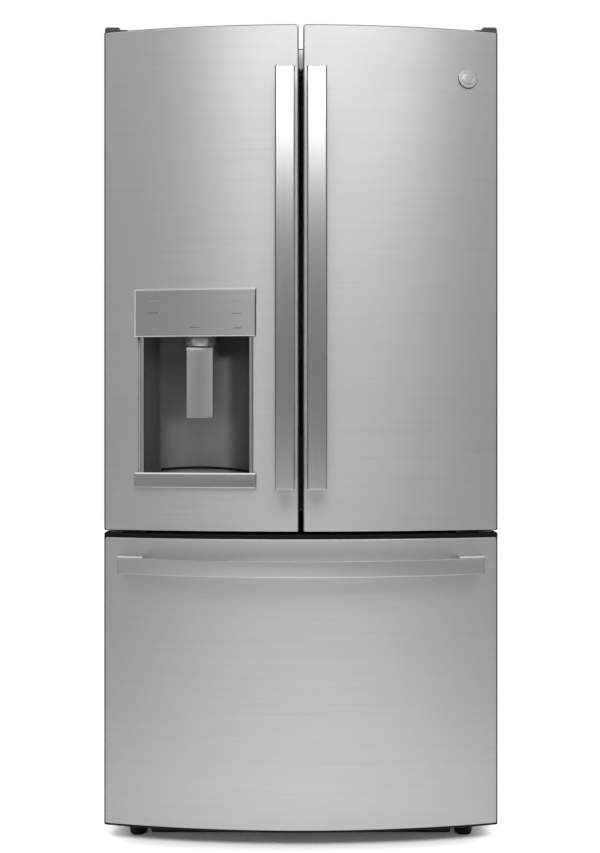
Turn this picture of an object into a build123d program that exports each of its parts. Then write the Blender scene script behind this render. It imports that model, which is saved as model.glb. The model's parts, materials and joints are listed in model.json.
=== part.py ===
from build123d import *
import math
import os

# French door refrigerator: two bowed upper doors over a pull-out freezer drawer, with an ice and water
# dispenser in the left door. Millimetres, +Z up, the front faces -Y, and +X is on the right seen from the
# front. The origin is on the floor, under the middle of the whole object, handles included.

# ---------------------------------------------------------------- driving dimensions
# Whole object
width = 832  # doors and drawer, side to side
height = 1748  # to the top of the hinge covers
case_depth = 746  # front flange to rear sheet
case_inset = 2  # each side, from the doors' sides
case_bottom = 45
cover_rise = 19  # hinge covers over the doors
bead_width = 80  # pressed beads in the back sheet
bead_margin = 60
bead_corner = 30
door_rise = 8  # doors over the case
door_bottom = 678
drawer_top = 663
drawer_bottom = 59

# Doors and drawer front
door_gap = 12  # between the two upper doors
front_sag = 42  # how far the bowed front stands out, sides to middle
door_edge_depth = 58  # thickness at the outer edge
seal_gap = 12  # door back to case front
sheet = 1.2  # steel sheet
edge_radius = 6  # vertical front edges
hem_radius = 2.5  # top and bottom front edges
hem_depth = 9  # how far the skin folds over the end caps
cap_height = 14
cap_inset = 1  # the caps lie this far inside the hems
dyke_height = 38
dyke_width = 24
dyke_outer = 54  # outer side of the door to the dyke
dyke_low_margin = 34  # door's bottom to the dyke
dyke_high_margin = 62
dyke_corner = 14
dyke_inner_corner = 8
dyke_crest = 6  # rounding along the dyke's top
drawer_rise = 14  # the drawer's inner panel stands out this far
mullion_room = 23  # unfolded mullion's edge to the dykes
core_gap = 0.3  # under the bowed skin

# Hinges
pivot_inset = 22  # from the door's side
pivot_depth = 24  # in front of the door's back
pin_radius = 5
pin_clearance = 0.08
pin_bite = 12  # how far a pin reaches past the end cap
well_depth = 40  # room round the pins in the foam
well_play = 3
plate = 5  # hinge plates
hinge_gap = 2  # upper arm over the door
hinge_arm = 32  # width of the upper arm
hinge_bend = 26  # behind the case front
hinge_reach = 92
hinge_nose = 14  # from the pin's axis to the arm's end
hinge_round = 13
hinge_screws = (46, 78)  # behind the case front
screw_radius = 6.5
screw_head = 4
cover_wall = 2.2
cover_nose = 26  # from the pin's axis to the cover's front
cover_reach = 112  # behind the case front
cover_inner = 27  # from the pin's axis towards the middle
cover_slope = 15
cover_drop = 5
cover_gap = 1  # over the door
bracket_inset = 4  # middle hinge, from the case's side
bracket_width = 34
bracket_foot = 72
bracket_foot_gauge = 2.5
bracket_round = 12
bracket_lap = 10  # over the drawer's top edge
collar_wall = 4

# Gaskets
gasket_width = 22
gasket_inset = 18.5  # from the outer side, so that it never rubs while the door turns
gasket_end_inset = 12
gasket_clearance = 0.5
gasket_drop = 8  # more room at the end beside the case flange
gasket_corner = 6
gasket_inner_corner = 3
groove_low = 4  # groove round the gasket's outer side
groove_high = 8
groove_outer = 4
lip_reach = 1.5  # half the slit left between the two lips

# Handles
handle_standoff = 60  # door face to the front of the bar
handle_width = 40
handle_depth = 16
handle_chamfer = 4
handle_sag = 12  # its ends stand back from the middle
handle_low = 769
handle_high = 1622
handle_offset = 32.5  # bar centre from the middle of the refrigerator
post_length = 58
post_inset = 3  # posts are narrower than the bar
post_round = 3
post_root = 20  # the posts are drawn this far in and trimmed by the door's bow
set_screw = 2  # radius of the set screws' holes in the posts
set_screw_depth = 10
set_screw_gap = 16  # from the door's face
bar_inset = 35  # drawer handle, from each side of the drawer
bar_height = 34
bar_depth = 13
bar_chamfer = 3
bar_post_drop = 2
bar_sag = 57
bar_centre_z = 600
bar_post = 49

# Dispenser
disp_x = -220
disp_width = 255
disp_opening = 228
disp_low = 769
disp_sill = 800
disp_head = 1083
disp_top = 1184
disp_depth = 104  # deepest point of the recess
disp_side_depth = 24  # straight side walls before the round back
disp_wall = 2.5
panel_proud = 6
panel_depth = 16
panel_bevel = 3
bezel_depth = 6
disp_lap = 6  # how far the dispenser's faces cover the cut in the skin
trim = 6
paddle_radius = 28
paddle_low = 913
paddle_high = 1064
paddle_pivot_z = 1056
paddle_pivot_back = 6  # behind the nozzle's centre
paddle_pin = 3
paddle_wall = 3
paddle_roof = 6
paddle_cut = 12  # the half round ends this far behind the nozzle's centre
chute_depth = 52  # nozzle's centre behind the door's face
chute_shift = 7  # nozzle's centre from the recess's, towards the middle of the refrigerator
chute_x = disp_x + chute_shift
collar_radius = 32
chute_gap = 7  # collar over the paddle
chute_wall = 10
chute_roof = 6
ear_gap = 3  # paddle to ear
ear_width = 4
ear_drop = 8
sill_proud = 9
sill_round = 2
strip_proud = 1.5
tray_gap = 2  # tray's rim under the sill
tray_dish = 3
tray_slot = 8
tray_pitch = 24
tray_slots = 7

# Cabinet walls and cavities
side_wall = 50
top_wall = 47
rear_wall = 62
liner = 2
fresh_floor = 705
freezer_top = 640
freezer_floor = 112
freezer_step = 312  # raised floor over the machine compartment
machine_depth = 186
machine_top = 268
machine_wall = 48
cavity_radius = 16
flange = 30  # painted steel front flange

# Mullion
mullion_width = 58
mullion_depth = 20
mullion_offset = 6.5  # pivot to the near edge of the bar
mullion_pivot_depth = 10  # behind the case front
knuckle_radius = 5.5
knuckle_length = 26
knuckle_room = 6
ear_gauge = 3
mullion_pin = 3
guide_depth = 36
guide_height = 10
guide_arc = (15, 26)  # inner and outer radius of the guide's slot

# Shelves and bins
shelf_front = 186  # behind the case front
shelf_levels = (1238, 1430)
shelf_thickness = 16
glass = 4
rim = 14
rim_front = 8  # the front rim is this much deeper
glass_lap = 8  # how far the glass lies on the rim
shelf_rear_gap = 40
bin_wall = 3
bin_depth = 116
bin_height = 88
bin_count = 4
bin_corner = 14
bin_rail = 30
bin_rail_depth = 8
ice_bin_height = 84
ice_bin_depth = 104
crisper_front = 160
crisper_depth = 400
crisper_dip = 40
crisper_wall_inset = 10  # crispers to the liner's wall
crisper_gap = 6  # crispers to the middle
crisper_drop = 10  # under the cover
crisper_corner = 18
crisper_face = 98
crisper_face_depth = 13.1
crisper_cover_height = 372  # glass over the crispers, from the compartment's floor
rack_height = 158
rack_gauge = 7.7
deli_height = 140
fit = 0.3  # between pieces of one body that seat on each other
ledge_height = 7.7
ledge_width = 7
ice_depth = 130
ice_wall = 6
ice_cover = 14
duct_width = 124
duct_depth = 24
duct_round = 12
outlet_width = 76
outlet_pitch = 12

# Drawer slides
slide_low = 296
slide_high = 342
slide_width = 17
drawer_travel = 420
slide_overlap = 60  # left in the fixed rails with the drawer fully out
slide_front = 24  # behind the case front
slide_gauge = 2
slide_play = 0.6
slide_ledge = 5  # how far the drawer members stand out of the fixed rails
runner_width = 12
runner_depth = 10
runner_rise = 128  # upper basket's runners over the slides
tab_reach = 40  # drawer member's bracket
basket_corner = 24
basket_end_gap = 10
basket_floor_gap = 14
basket_slot = 18
upper_basket_front = 46  # behind the case front
upper_basket_back = 460
upper_basket_gap = 24  # over the slides

# Base
leg_inset = 56  # from the case's side
leg_y = 26  # behind the case front
leg_radius = 21
stud_radius = 6
roller_inset = 69
roller_y = 676
roller_radius = 20
roller_width = 18
axle_radius = 4
axle_gap = 0.7  # hub proud of the wheel
running = 0.08
pad_height = 22
pad_taper = 3
collar_hex = 11  # hexagon under the chassis, for a spanner
collar_hex_height = 2.4
frame_depth = 20
frame_front = 12  # behind the case front
frame_rear = 8  # in front of the rear
channel_inset = 4
channel_width = 30
channel_gauge = 2
deck_gauge = 1.5
bar_front_width = 38
bar_rear_width = 32
boss_wall = 5
ear_half = 12
ear_low = 9  # under the roller's axle
grille_low = 6
grille_gauge = 4
grille_slots = 17
grille_slot_width = 26
grille_slot_height = 6

# Machine compartment
side_gauge = 1.5  # chassis plates inside the case's sides
louvre_pitch = 20
louvre_height = 7
louvre_rows = 7
compressor_radius = 72
compressor_x = -150
compressor_low = 40
compressor_high = 128
compressor_seam = 3
coil_x = (104, 284)
coil_height = 196
coil_fins = 13
coil_rows = 4
coil_pitch = 40
coil_tube = 4.5
fan_hub = 18
fan_hub_radius = 17
fan_radius = 62
fan_blades = 5
fan_pitch = 32  # degrees
fan_chord = 34
fan_gauge = 2
fan_camber = 4
fan_shaft = 4
shroud_gap = 36  # from the fan to its ring
shroud_gauge = 3
shroud_bore = 66
pan_x = (-330, -262)
pan_height = 26
pan_wall = 2
inlet_radius = 5.5
inlet_free = 16  # threaded stub past its nut
inlet_nut = 5
cord_radius = 4.5

# ---------------------------------------------------------------- places worked out from them
disp_floor = disp_sill - 14
disp_ceiling = disp_head + 12
reach = seal_gap + door_edge_depth + front_sag + handle_standoff
front = (reach - case_depth) / 2  # y of the case front
rear = front + case_depth
half = width / 2
case_half = half - case_inset
door_top = height - cover_rise
case_top = door_top - door_rise
leg_x = case_half - leg_inset
roller_x = case_half - roller_inset
bar_span = width - 2 * bar_inset
cavity_half = case_half - side_wall
cavity_rear = rear - rear_wall
fresh_top = case_top - top_wall
door_back = front - seal_gap
bow_radius = (half**2 + front_sag**2) / (2 * front_sag)
bow_front = door_back - door_edge_depth - front_sag  # y of the foremost line of the doors
bow_centre = bow_front + bow_radius
pivot_x = half - pivot_inset
pivot_y = door_back - pivot_depth
machine_front = rear - machine_depth
handle_front = bow_front - handle_standoff
liner_top_y = door_back + dyke_height  # crest of the dyke inside the doors
inner_play = 2 * (slide_gauge + slide_play)
slide_length = drawer_travel + slide_overlap
mullion_pivot_x = -mullion_offset - mullion_width / 2
mullion_pivot_y = front + mullion_pivot_depth
mullion_low = fresh_floor + 8
mullion_high = fresh_top - 14


# ---------------------------------------------------------------- helpers
def block(x0, x1, y0, y1, z0, z1):
    """Box between two corners."""
    return Pos((x0 + x1) / 2, (y0 + y1) / 2, (z0 + z1) / 2) * Box(abs(x1 - x0), abs(y1 - y0), abs(z1 - z0))


def rod(x, y, z0, z1, radius):
    """Upright round bar."""
    return Pos(x, y, (z0 + z1) / 2) * Cylinder(radius, abs(z1 - z0))


def cross_rod(x0, x1, y, z, radius):
    """Round bar along X."""
    return Pos((x0 + x1) / 2, y, z) * Rot(0, 90, 0) * Cylinder(radius, abs(x1 - x0))


def depth_rod(x, y0, y1, z, radius):
    """Round bar along Y."""
    return Pos(x, (y0 + y1) / 2, z) * Rot(90, 0, 0) * Cylinder(radius, abs(y1 - y0))


def rounded(solid, axis, radius):
    """The solid with every straight edge along an axis filleted."""
    return fillet(solid.edges().filter_by(axis), radius)


def mirrored(solid):
    """The same piece for the other side of the refrigerator."""
    return mirror(solid, Plane.YZ)


def pair(solid):
    return Compound([solid, mirrored(solid)])


def bow_y(x, inset=0.0):
    """y of the bowed front at x, moved back by inset."""
    return bow_centre - math.sqrt((bow_radius - inset) ** 2 - x**2)


def bow_plan(x0, x1, inset, back, corner=0.0):
    """Plan of a slice of the bowed front, from the front arc back to a straight line."""
    middle = (x0 + x1) / 2
    left, right = (x0, bow_y(x0, inset)), (x1, bow_y(x1, inset))
    outline = Polyline(left, (x0, back), (x1, back), right) + ThreePointArc(
        right, (middle, bow_y(middle, inset)), left
    )
    plan = make_face(outline)
    if corner > 0:
        plan = fillet(plan.vertices().sort_by(Axis.Y)[:2], corner)
    return plan


def bow_block(x0, x1, z0, z1, inset, back, corner=0.0):
    return Pos(0, 0, z0) * extrude(bow_plan(x0, x1, inset, back, corner), z1 - z0)


def open_tub(x0, x1, y0, y1, z0, z1, wall, taper, corner):
    """Moulded tub, open at the top, with drafted sides and round corners."""

    def filled(inset, floor):
        mouth = Rectangle(x1 - x0 - 2 * inset, y1 - y0 - 2 * inset)
        mouth = fillet(mouth.vertices(), corner - inset)
        place = Plane(((x0 + x1) / 2, (y0 + y1) / 2, z1), z_dir=(0, 0, -1))
        return extrude(place * mouth, z1 - floor, taper=taper)

    cavity = filled(wall, z0 + wall)
    above = cavity.faces().sort_by(Axis.Z)[-1]
    return filled(0, z0) - cavity - extrude(above, 1, dir=(0, 0, 1))


# ---------------------------------------------------------------- cabinet
def outer_case():
    """Painted steel wrap: two sides and the top, with a folded front flange."""

    def arch(inset, y0, y1):
        side = case_half - inset
        shape = block(-side, side, y0, y1, case_bottom - inset, case_top - inset)
        corners = shape.edges().filter_by(Axis.Y).sort_by(Axis.Z)[-2:]
        return fillet(corners, edge_radius - inset)

    wrap = arch(0, front, rear - sheet) - arch(sheet, front + sheet, rear)
    opening = case_half - flange
    return wrap - block(-opening, opening, front - 1, front + 5, case_bottom - 1, case_top - flange)


def rear_panel():
    """Steel back sheet with two pressed vertical beads."""
    panel = block(-case_half, case_half, rear - sheet, rear, machine_top, case_top)
    panel = fillet(panel.edges().filter_by(Axis.Y).sort_by(Axis.Z)[-2:], edge_radius)
    for x in (-case_half / 2, case_half / 2):
        x0, x1 = x - bead_width / 2, x + bead_width / 2
        bead = block(x0, x1, rear - sheet / 2, rear, machine_top + bead_margin, case_top - bead_margin)
        panel -= rounded(bead, Axis.Y, bead_corner)
    return panel


def cavity(inset, z0, z1, y0):
    """Rounded cavity, inset outwards for the liner's thickness."""
    side = cavity_half + inset
    shape = block(-side, side, y0, cavity_rear + inset, z0 - inset, z1 + inset)
    return rounded(shape, Axis.Y, cavity_radius + inset)


def freezer_hollow(inset, y0):
    """Freezer cavity with its raised floor over the machine compartment."""
    step_front = machine_front - machine_wall - inset
    low = freezer_floor - cavity_radius
    step = block(-case_half, case_half, step_front, rear, low, freezer_step - inset)
    return cavity(inset, freezer_floor, freezer_top, y0) - step


def cabinet_foam():
    """Foamed insulation between the steel case and the two liners."""
    side = case_half - sheet
    foam = block(-side, side, front + liner, rear - sheet, case_bottom, case_top - sheet)
    foam = fillet(foam.edges().filter_by(Axis.Y).sort_by(Axis.Z)[-2:], edge_radius - sheet)
    foam -= cavity(liner, fresh_floor, fresh_top, front)
    foam -= freezer_hollow(liner, front)
    return foam - block(-case_half, case_half, machine_front, rear, 0, machine_top)


def liner_flange(z0, z1):
    """Front face of a liner, up to the steel flange."""
    side = case_half - flange
    return block(-side, side, front, front + liner, z0, z1)


def fresh_food_liner():
    """Thermoformed liner with ledges for the shelves and drawers."""
    middle = (fresh_floor + freezer_top) / 2
    body = cavity(liner, fresh_floor, fresh_top, front) + liner_flange(middle, case_top - flange)
    body -= cavity(0, fresh_floor, fresh_top, front - 5)
    for level in shelf_levels + (crisper_cover_level(),):
        low = level - shelf_thickness - 8
        y0, y1 = front + shelf_front + 20, cavity_rear - 30
        ledge = block(cavity_half - ledge_width, cavity_half + 1, y0, y1, low, low + ledge_height)
        body += ledge + mirrored(ledge)
    return body


def freezer_liner():
    """Freezer liner with a pair of runners for the upper basket."""
    middle = (fresh_floor + freezer_top) / 2
    body = freezer_hollow(liner, front) + liner_flange(case_bottom, middle)
    body -= freezer_hollow(0, front - 5)
    inner = cavity_half - runner_width
    low = runner_z() - runner_depth
    runner = block(inner, cavity_half + 1, front + 40, cavity_rear - 40, low, runner_z())
    return body + runner + mirrored(runner)


def runner_z():
    """Top of the upper basket's runners."""
    return slide_high + runner_rise


def crisper_cover_level():
    """Top of the glass over the crispers."""
    return fresh_floor + crisper_cover_height


# Hardware at the hinges
def top_hinge():
    """Cranked steel arm with a pin that drops into the door, left side."""
    z = door_top + hinge_gap
    y_nose = pivot_y - hinge_nose
    y_bend = front + hinge_bend
    y_end = front + hinge_reach
    side_view = Polyline(
        (y_end, case_top),
        (y_end, case_top + plate),
        (y_bend + plate, case_top + plate),
        (y_bend + plate, z + plate),
        (y_nose, z + plate),
        (y_nose, z),
        (y_bend, z),
        (y_bend, case_top),
        close=True,
    )
    arm = extrude(Plane.YZ * make_face(side_view), hinge_arm / 2, both=True)
    nose = arm.edges().filter_by(Axis.Z).sort_by(Axis.Y)[:2]
    arm = Pos(-pivot_x, 0, 0) * fillet(nose, hinge_round)
    seat = case_top + plate
    for y in hinge_screws:
        arm += rod(-pivot_x, front + y, seat, seat + screw_head, screw_radius)
    return arm + rod(-pivot_x, pivot_y, z + 1, door_top - cap_height - pin_bite, pin_radius)


def hinge_cover():
    """Black moulded cover over the top hinge, left side."""
    over_door = door_top + cover_gap
    crest = height
    outer, inner = -case_half + 1, -pivot_x + cover_inner

    def shell(t, y0, y1):
        low = case_top if t == 0 else case_top - 1
        end_view = Polyline(
            (outer + t, low),
            (outer + t, crest - cover_drop),
            (outer + cover_drop, crest - t),
            (inner - cover_slope, crest - t),
            (inner - t, over_door + 1),
            (inner - t, low),
            close=True,
        )
        return Pos(0, y1, 0) * extrude(Plane.XZ * make_face(end_view), y1 - y0)

    y0, y1 = pivot_y - cover_nose, front + cover_reach
    cover = shell(0, y0, y1) - shell(cover_wall, y0 + cover_wall, y1 - cover_wall)
    return cover - block(-half - 5, -half + 90, y0 - 5, front - fit, case_top - 5, over_door)


def middle_hinge():
    """Bracket on the divider that carries the upper door on a pin, left side."""
    z = (drawer_top + door_bottom - plate) / 2
    x0 = -case_half + bracket_inset
    arm = block(x0, x0 + bracket_width, pivot_y - hinge_nose, front, z, z + plate)
    arm = fillet(arm.edges().filter_by(Axis.Z).sort_by(Axis.Y)[:2], bracket_round)
    y, low = front - bracket_foot_gauge, drawer_top - bracket_lap
    foot = block(x0, x0 + bracket_foot, y, front, low, door_bottom - fit)
    foot = rounded(foot, Axis.Y, bracket_inset)
    pin = rod(-pivot_x, pivot_y, z + 1, door_bottom + cap_height + pin_bite, pin_radius)
    collar = rod(-pivot_x, pivot_y, z + 1, door_bottom - fit, pin_radius + collar_wall)
    return arm + foot + pin + collar


# Base and rear
def base_frame():
    """Welded chassis: side channels, cross bars, leg nuts and roller ears with their axles."""
    top, low = case_bottom, case_bottom - frame_depth
    y0, y1 = front + frame_front, rear - frame_rear
    side, t = case_half - channel_inset, channel_gauge
    inner = side - channel_width
    frame = block(-case_half, case_half, y0, machine_front, top - deck_gauge, top)
    channel = block(inner, side, y0, y1, low, top)
    channel -= block(inner + t, side - t, y0 - 2, y1 + 2, low - 1, top - t)
    frame += channel + mirrored(channel)
    for start, end in ((y0, y0 + bar_front_width), (y1 - bar_rear_width, y1)):
        bar = block(1 - side, side - 1, start, end, low + 4, top)
        frame += bar - block(-inner - 1, inner + 1, start + t, end - t, low, top - t)
    frame += block(1 - side, side - 1, machine_front, y1, top - deck_gauge, top)
    skin = case_half - sheet
    side_plate = block(skin - side_gauge, skin, machine_front, y1, top - 1, machine_top)
    frame += side_plate + mirrored(side_plate)
    boss = rod(leg_x, front + leg_y, low, top, stud_radius + boss_wall)
    frame += boss + mirrored(boss)
    y, ear_bottom = front + roller_y, roller_radius - ear_low
    reach_out = roller_width / 2 + ear_gauge + 1
    for side in (-1, 1):
        for ear in (-reach_out, roller_width / 2 + 1):
            x = side * roller_x + ear
            frame += block(x, x + ear_gauge, y - ear_half, y + ear_half, ear_bottom, top)
        x0, x1 = side * roller_x - reach_out, side * roller_x + reach_out
        frame += cross_rod(x0, x1, y, roller_radius, axle_radius)
        frame -= rod(side * leg_x, front + leg_y, low - 1, top + 1, stud_radius + pin_clearance)
    return frame


def leveling_leg(x):
    """Screw-in front foot: tapered rubber-like pad on a stud, with a hexagon for a spanner."""
    y = front + leg_y
    pad = Pos(x, y, pad_height / 2) * Cone(leg_radius - pad_taper, leg_radius, pad_height)
    pad = fillet(pad.edges().sort_by(Axis.Z)[:1], 2)
    nut = extrude(Pos(x, y, pad_height) * RegularPolygon(collar_hex, 6), collar_hex_height)
    return pad + nut + rod(x, y, pad_height / 2, case_bottom - 0.5, stud_radius)


def roller(x):
    y = front + roller_y
    wheel = cross_rod(x - roller_width / 2, x + roller_width / 2, y, roller_radius, roller_radius)
    wheel = fillet(wheel.edges().filter_by(GeomType.CIRCLE), 1.5)
    reach_out = roller_width / 2 + axle_gap
    hub = cross_rod(x - reach_out, x + reach_out, y, roller_radius, axle_radius + 3)
    return wheel + hub - cross_rod(x - 20, x + 20, y, roller_radius, axle_radius + running)


def toe_grille():
    """Black louvred plinth between the feet."""
    x, z0, z1 = leg_x - leg_radius - 9, grille_low, case_bottom - fit
    y1 = front + frame_front
    grille = rounded(block(-x, x, y1 - grille_gauge, y1, z0, z1), Axis.Y, 4)
    half_slot, half_height = grille_slot_width / 2, grille_slot_height / 2
    for row in (z0 + 12, z0 + 26):
        for i in range(grille_slots):
            centre = (i - (grille_slots - 1) / 2) * (2 * x - 60) / (grille_slots - 1)
            low, high = row - half_height, row + half_height
            grille -= block(centre - half_slot, centre + half_slot, front, y1 + 5, low, high)
    return grille


def machine_cover():
    """Rear lower cover with louvres, a hole for the water inlet and one for the cord's gland."""
    z0, z1 = case_bottom + 1, machine_top
    cover = block(-case_half + 6, case_half - 6, rear - sheet, rear, z0, z1)
    for x0, x1 in ((-330, -190), (-60, 80), (130, 260)):
        for i in range(louvre_rows):
            z = z0 + 45 + louvre_pitch * i
            cover -= block(x0, x1, rear - 5, rear + 5, z, z + louvre_height)
    cover -= depth_rod(valve_x(), rear - 5, rear + 5, valve_z(), inlet_radius + 16)
    return cover - depth_rod(gland_x(), rear - 5, rear + 5, gland_z(), cord_radius + 4.5)


def valve_x():
    return case_half - 74


def valve_z():
    return machine_top - 60


def gland_x():
    return -case_half + 44


def gland_z():
    return case_bottom + 50


def cord_gland():
    """Moulded bush that the supply cord leaves through, without the cord."""
    y, z, outer = rear - sheet, gland_z(), cord_radius + 4.4
    bush = depth_rod(gland_x(), y - 1, rear, z, outer)
    bush += depth_rod(gland_x(), y - 6, y, z, outer + 3)
    return bush - depth_rod(gland_x(), y - 20, rear + 20, z, cord_radius)


def water_valve():
    """Solenoid valve whose threaded inlet stands in the cover's hole."""
    x, z = valve_x(), valve_z()
    nut_face = rear - 1 - inlet_free
    back = nut_face - inlet_nut
    body = rounded(block(x - 16, x + 16, back - 30, back, z - 14, z + 14), Axis.Y, 4)
    coil = rounded(block(x - 13, x + 13, rear - 50, rear - 24, z + 14, z + 48), Axis.Z, 4)
    inlet = depth_rod(x, back - 1, rear - 1, z, inlet_radius)
    nut = extrude(Plane.XZ.offset(-nut_face) * (Pos(x, z) * RegularPolygon(10, 6)), inlet_nut)
    wall = case_half - sheet - side_gauge
    arm = block(x - 4, wall, rear - 58, rear - 52, z - 10, z + 10)
    flange_plate = block(wall - 4, wall, rear - 58, rear - 30, z - 10, z + 10)
    return body + coil + inlet + nut + arm + flange_plate


def compressor():
    """Hermetic compressor: domed can on a foot plate, with its terminal box."""
    x, y, z = compressor_x, machine_front + 88, case_bottom
    r = compressor_radius
    low, high = z + compressor_low, z + compressor_high
    shell = rod(x, y, low, high, r)
    shell += Pos(x, y, low) * scale(Sphere(r), (1, 1, 0.45))
    shell += Pos(x, y, high) * scale(Sphere(r), (1, 1, 0.55))
    shell += Pos(x, y, (low + high) / 2) * Cylinder(r + compressor_seam, 5)
    foot = rounded(block(x - r - 20, x + r + 20, y - 55, y + 55, z + 10, z + 14), Axis.Z, 14)
    for fx in (x - r - 6, x + r + 6):
        for fy in (y - 42, y + 42):
            foot += rod(fx, fy, z, z + 20, 10)
    box = rounded(block(x + r - 12, x + r + 26, y - 30, y + 30, z + 50, z + 100), Axis.Z, 5)
    return shell + foot + box


def fan_x():
    """x of the fan's hub."""
    return 48


def fan_y():
    return (machine_front + rear - 10) / 2


def fan_z():
    return case_bottom + 108


def condenser():
    """Finned coil with the fan's shroud and motor bracket."""
    y0, y1, z0 = machine_front + 20, rear - 30, case_bottom
    x0, x1 = coil_x
    top = z0 + coil_height
    coil = None
    for i in range(coil_fins):
        x = x0 + 8 + i * (x1 - x0 - 16) / (coil_fins - 1)
        fin = block(x - 0.8, x + 0.8, y0 + 8, y1 - 8, z0 + 30, top - 10)
        coil = fin if coil is None else coil + fin
    for row in range(coil_rows):
        z = z0 + 48 + row * coil_pitch
        for y in (y0 + 38, y1 - 38):
            coil += cross_rod(x0, x1, y, z, coil_tube)
    t = shroud_gauge
    for x in (x0 - t, x1):
        coil += block(x, x + t, y0, y1, z0, top)
    shroud_x = fan_x() + shroud_gap
    coil += block(shroud_x - t, x0, y0, y0 + t, z0, top)
    coil += block(shroud_x - t, x0, y1 - t, y1, z0, top)
    y, z = fan_y(), fan_z()
    ring = block(shroud_x - t, shroud_x, y0, y1, z0, top)
    ring -= cross_rod(0, 2 * shroud_x, y, z, shroud_bore)
    coil += ring + block(shroud_x - t, shroud_x, y0, y1, z - 7, z + 7)
    coil += cross_rod(shroud_x - 22, shroud_x, y, z, fan_hub_radius)
    return coil + cross_rod(fan_x() - fan_hub / 2 + 3, shroud_x, y, z, fan_shaft)


def fan_blade():
    """One cambered blade, standing up from the hub, its tip trimmed round."""
    side, bow, t = fan_chord / 2, fan_camber, fan_gauge
    section = make_face(
        ThreePointArc((bow, -side), (0, 0), (bow, side))
        + Line((bow, side), (bow + t, side))
        + ThreePointArc((bow + t, side), (t, 0), (bow + t, -side))
        + Line((bow + t, -side), (bow, -side))
    )
    blade = Rot(0, 0, fan_pitch) * Pos(-(bow + t) / 2, 0, fan_hub_radius - 3) * extrude(section, fan_radius)
    return blade & cross_rod(-fan_chord, fan_chord, 0, 0, fan_radius)


def condenser_fan():
    """Five-bladed fan on the motor's shaft."""
    x, y, z = fan_x(), fan_y(), fan_z()
    fan = cross_rod(x - fan_hub / 2, x + fan_hub / 2, y, z, fan_hub_radius)
    for i in range(fan_blades):
        fan += Pos(x, y, z) * Rot(360 / fan_blades * i, 0, 0) * fan_blade()
    return fan - cross_rod(x - fan_hub / 2 + 2, x + fan_hub, y, z, fan_shaft + running)


def drain_pan():
    """Shallow pan under the compressor and coil."""
    x0, x1 = pan_x
    y0, y1, z, t = machine_front + 12, rear - 20, case_bottom, pan_wall
    pan = rounded(block(x0, x1, y0, y1, z, z + pan_height), Axis.Z, 8)
    return pan - rounded(block(x0 + t, x1 - t, y0 + t, y1 - t, z + t, z + pan_height + 4), Axis.Z, 8 - t)


# Cabinet interior
def air_duct():
    """Raised panel on the back wall with a column of outlets."""
    y1 = cavity_rear
    y0 = y1 - duct_depth
    z0, z1 = crisper_cover_level() + 20, fresh_top - 40
    duct = block(-duct_width / 2, duct_width / 2, y0, y1, z0, z1)
    duct = fillet(duct.edges().filter_by(Axis.Z).sort_by(Axis.Y)[:2], duct_round)
    x = outlet_width / 2
    for level in (z0 + 60, z0 + 200, z0 + 390):
        for i in range(4):
            low = level + outlet_pitch * i
            duct -= block(-x, x, y0 - 5, y0 + duct_depth / 2, low, low + 5)
    return duct


def evaporator_cover():
    """Back wall of the freezer with the fan's grille."""
    y1 = cavity_rear
    x = cavity_half - 6
    cover = block(-x, x, y1 - 26, y1, freezer_step + 6, freezer_top - 8)
    cover = fillet(cover.edges().filter_by(Axis.Z).sort_by(Axis.Y)[:2], 10)
    for i in range(6):
        z = freezer_top - 60 - 14 * i
        cover -= block(-70, 70, y1 - 30, y1 - 16, z, z + 6)
    return cover


def half_shelf_plan():
    """(x0, x1, y0, y1) of the right-hand half shelf."""
    return 5, cavity_half - fit, front + shelf_front, cavity_rear - shelf_rear_gap


def shelf_places():
    """(x0, x1, y0, y1, top) of every glass shelf, the crispers' cover last."""
    x0, x1, y0, y1 = half_shelf_plan()
    places = []
    for level in shelf_levels:
        places += [(x0, x1, y0, y1, level), (-x1, -x0, y0, y1, level)]
    return places + [(-x1, x1, front + crisper_front + 4, y1, crisper_cover_level())]


def shelf_frames():
    frames = []
    for x0, x1, y0, y1, top in shelf_places():
        frame = rounded(block(x0, x1, y0, y1, top - shelf_thickness, top), Axis.Z, 6)
        low, y = top - shelf_thickness - 1, y0 + rim_front
        frame -= block(x0 + rim, x1 - rim, y + rim, y1 - rim, low, top + 1)
        seat = rim - glass_lap
        frame -= block(x0 + seat, x1 - seat, y + seat, y1 - seat, top - glass - 1, top + 1)
        frames.append(frame)
    return Compound(frames)


def glass_shelves():
    plates = []
    for x0, x1, y0, y1, top in shelf_places():
        seat = rim - glass_lap + fit
        y = y0 + rim_front + seat
        plates.append(block(x0 + seat, x1 - seat, y, y1 - seat, top - glass - 1, top - 1))
    return Compound(plates)


def crisper(x0, x1, z0, z1):
    """Clear drawer with a grip along its front and a dip in its rear wall, where it lifts over the stop."""
    y0, y1 = front + crisper_front, front + crisper_front + crisper_depth
    tub = open_tub(x0, x1, y0 + 10, y1, z0, z1, bin_wall, 2, crisper_corner)
    dip = rounded(block(x0 + 34, x1 - 34, y1 - 24, y1 + 1, z1 - crisper_dip, z1 + 20), Axis.Y, 10)
    top = z1 + 6
    face = rounded(block(x0, x1, y0, y0 + crisper_face_depth, top - crisper_face, top), Axis.Y, 6)
    grip = block(x0 + 30, x1 - 30, y0 - 1, y0 + 7, z1 - 24, z1 - 8)
    return tub - dip + face - rounded(grip, Axis.X, 3)


def crisper_drawers():
    low = crisper_deck() + rack_gauge + fit
    high = crisper_cover_level() - shelf_thickness - crisper_drop
    right = crisper(crisper_gap, cavity_half - crisper_wall_inset, low, high)
    return Compound([right, mirrored(right)])


def crisper_deck():
    """z of the sheet that carries the crispers."""
    return fresh_floor + rack_height


def deli_drawer():
    side = cavity_half - crisper_wall_inset
    return crisper(-side, side, fresh_floor + fit, fresh_floor + deli_height)


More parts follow.
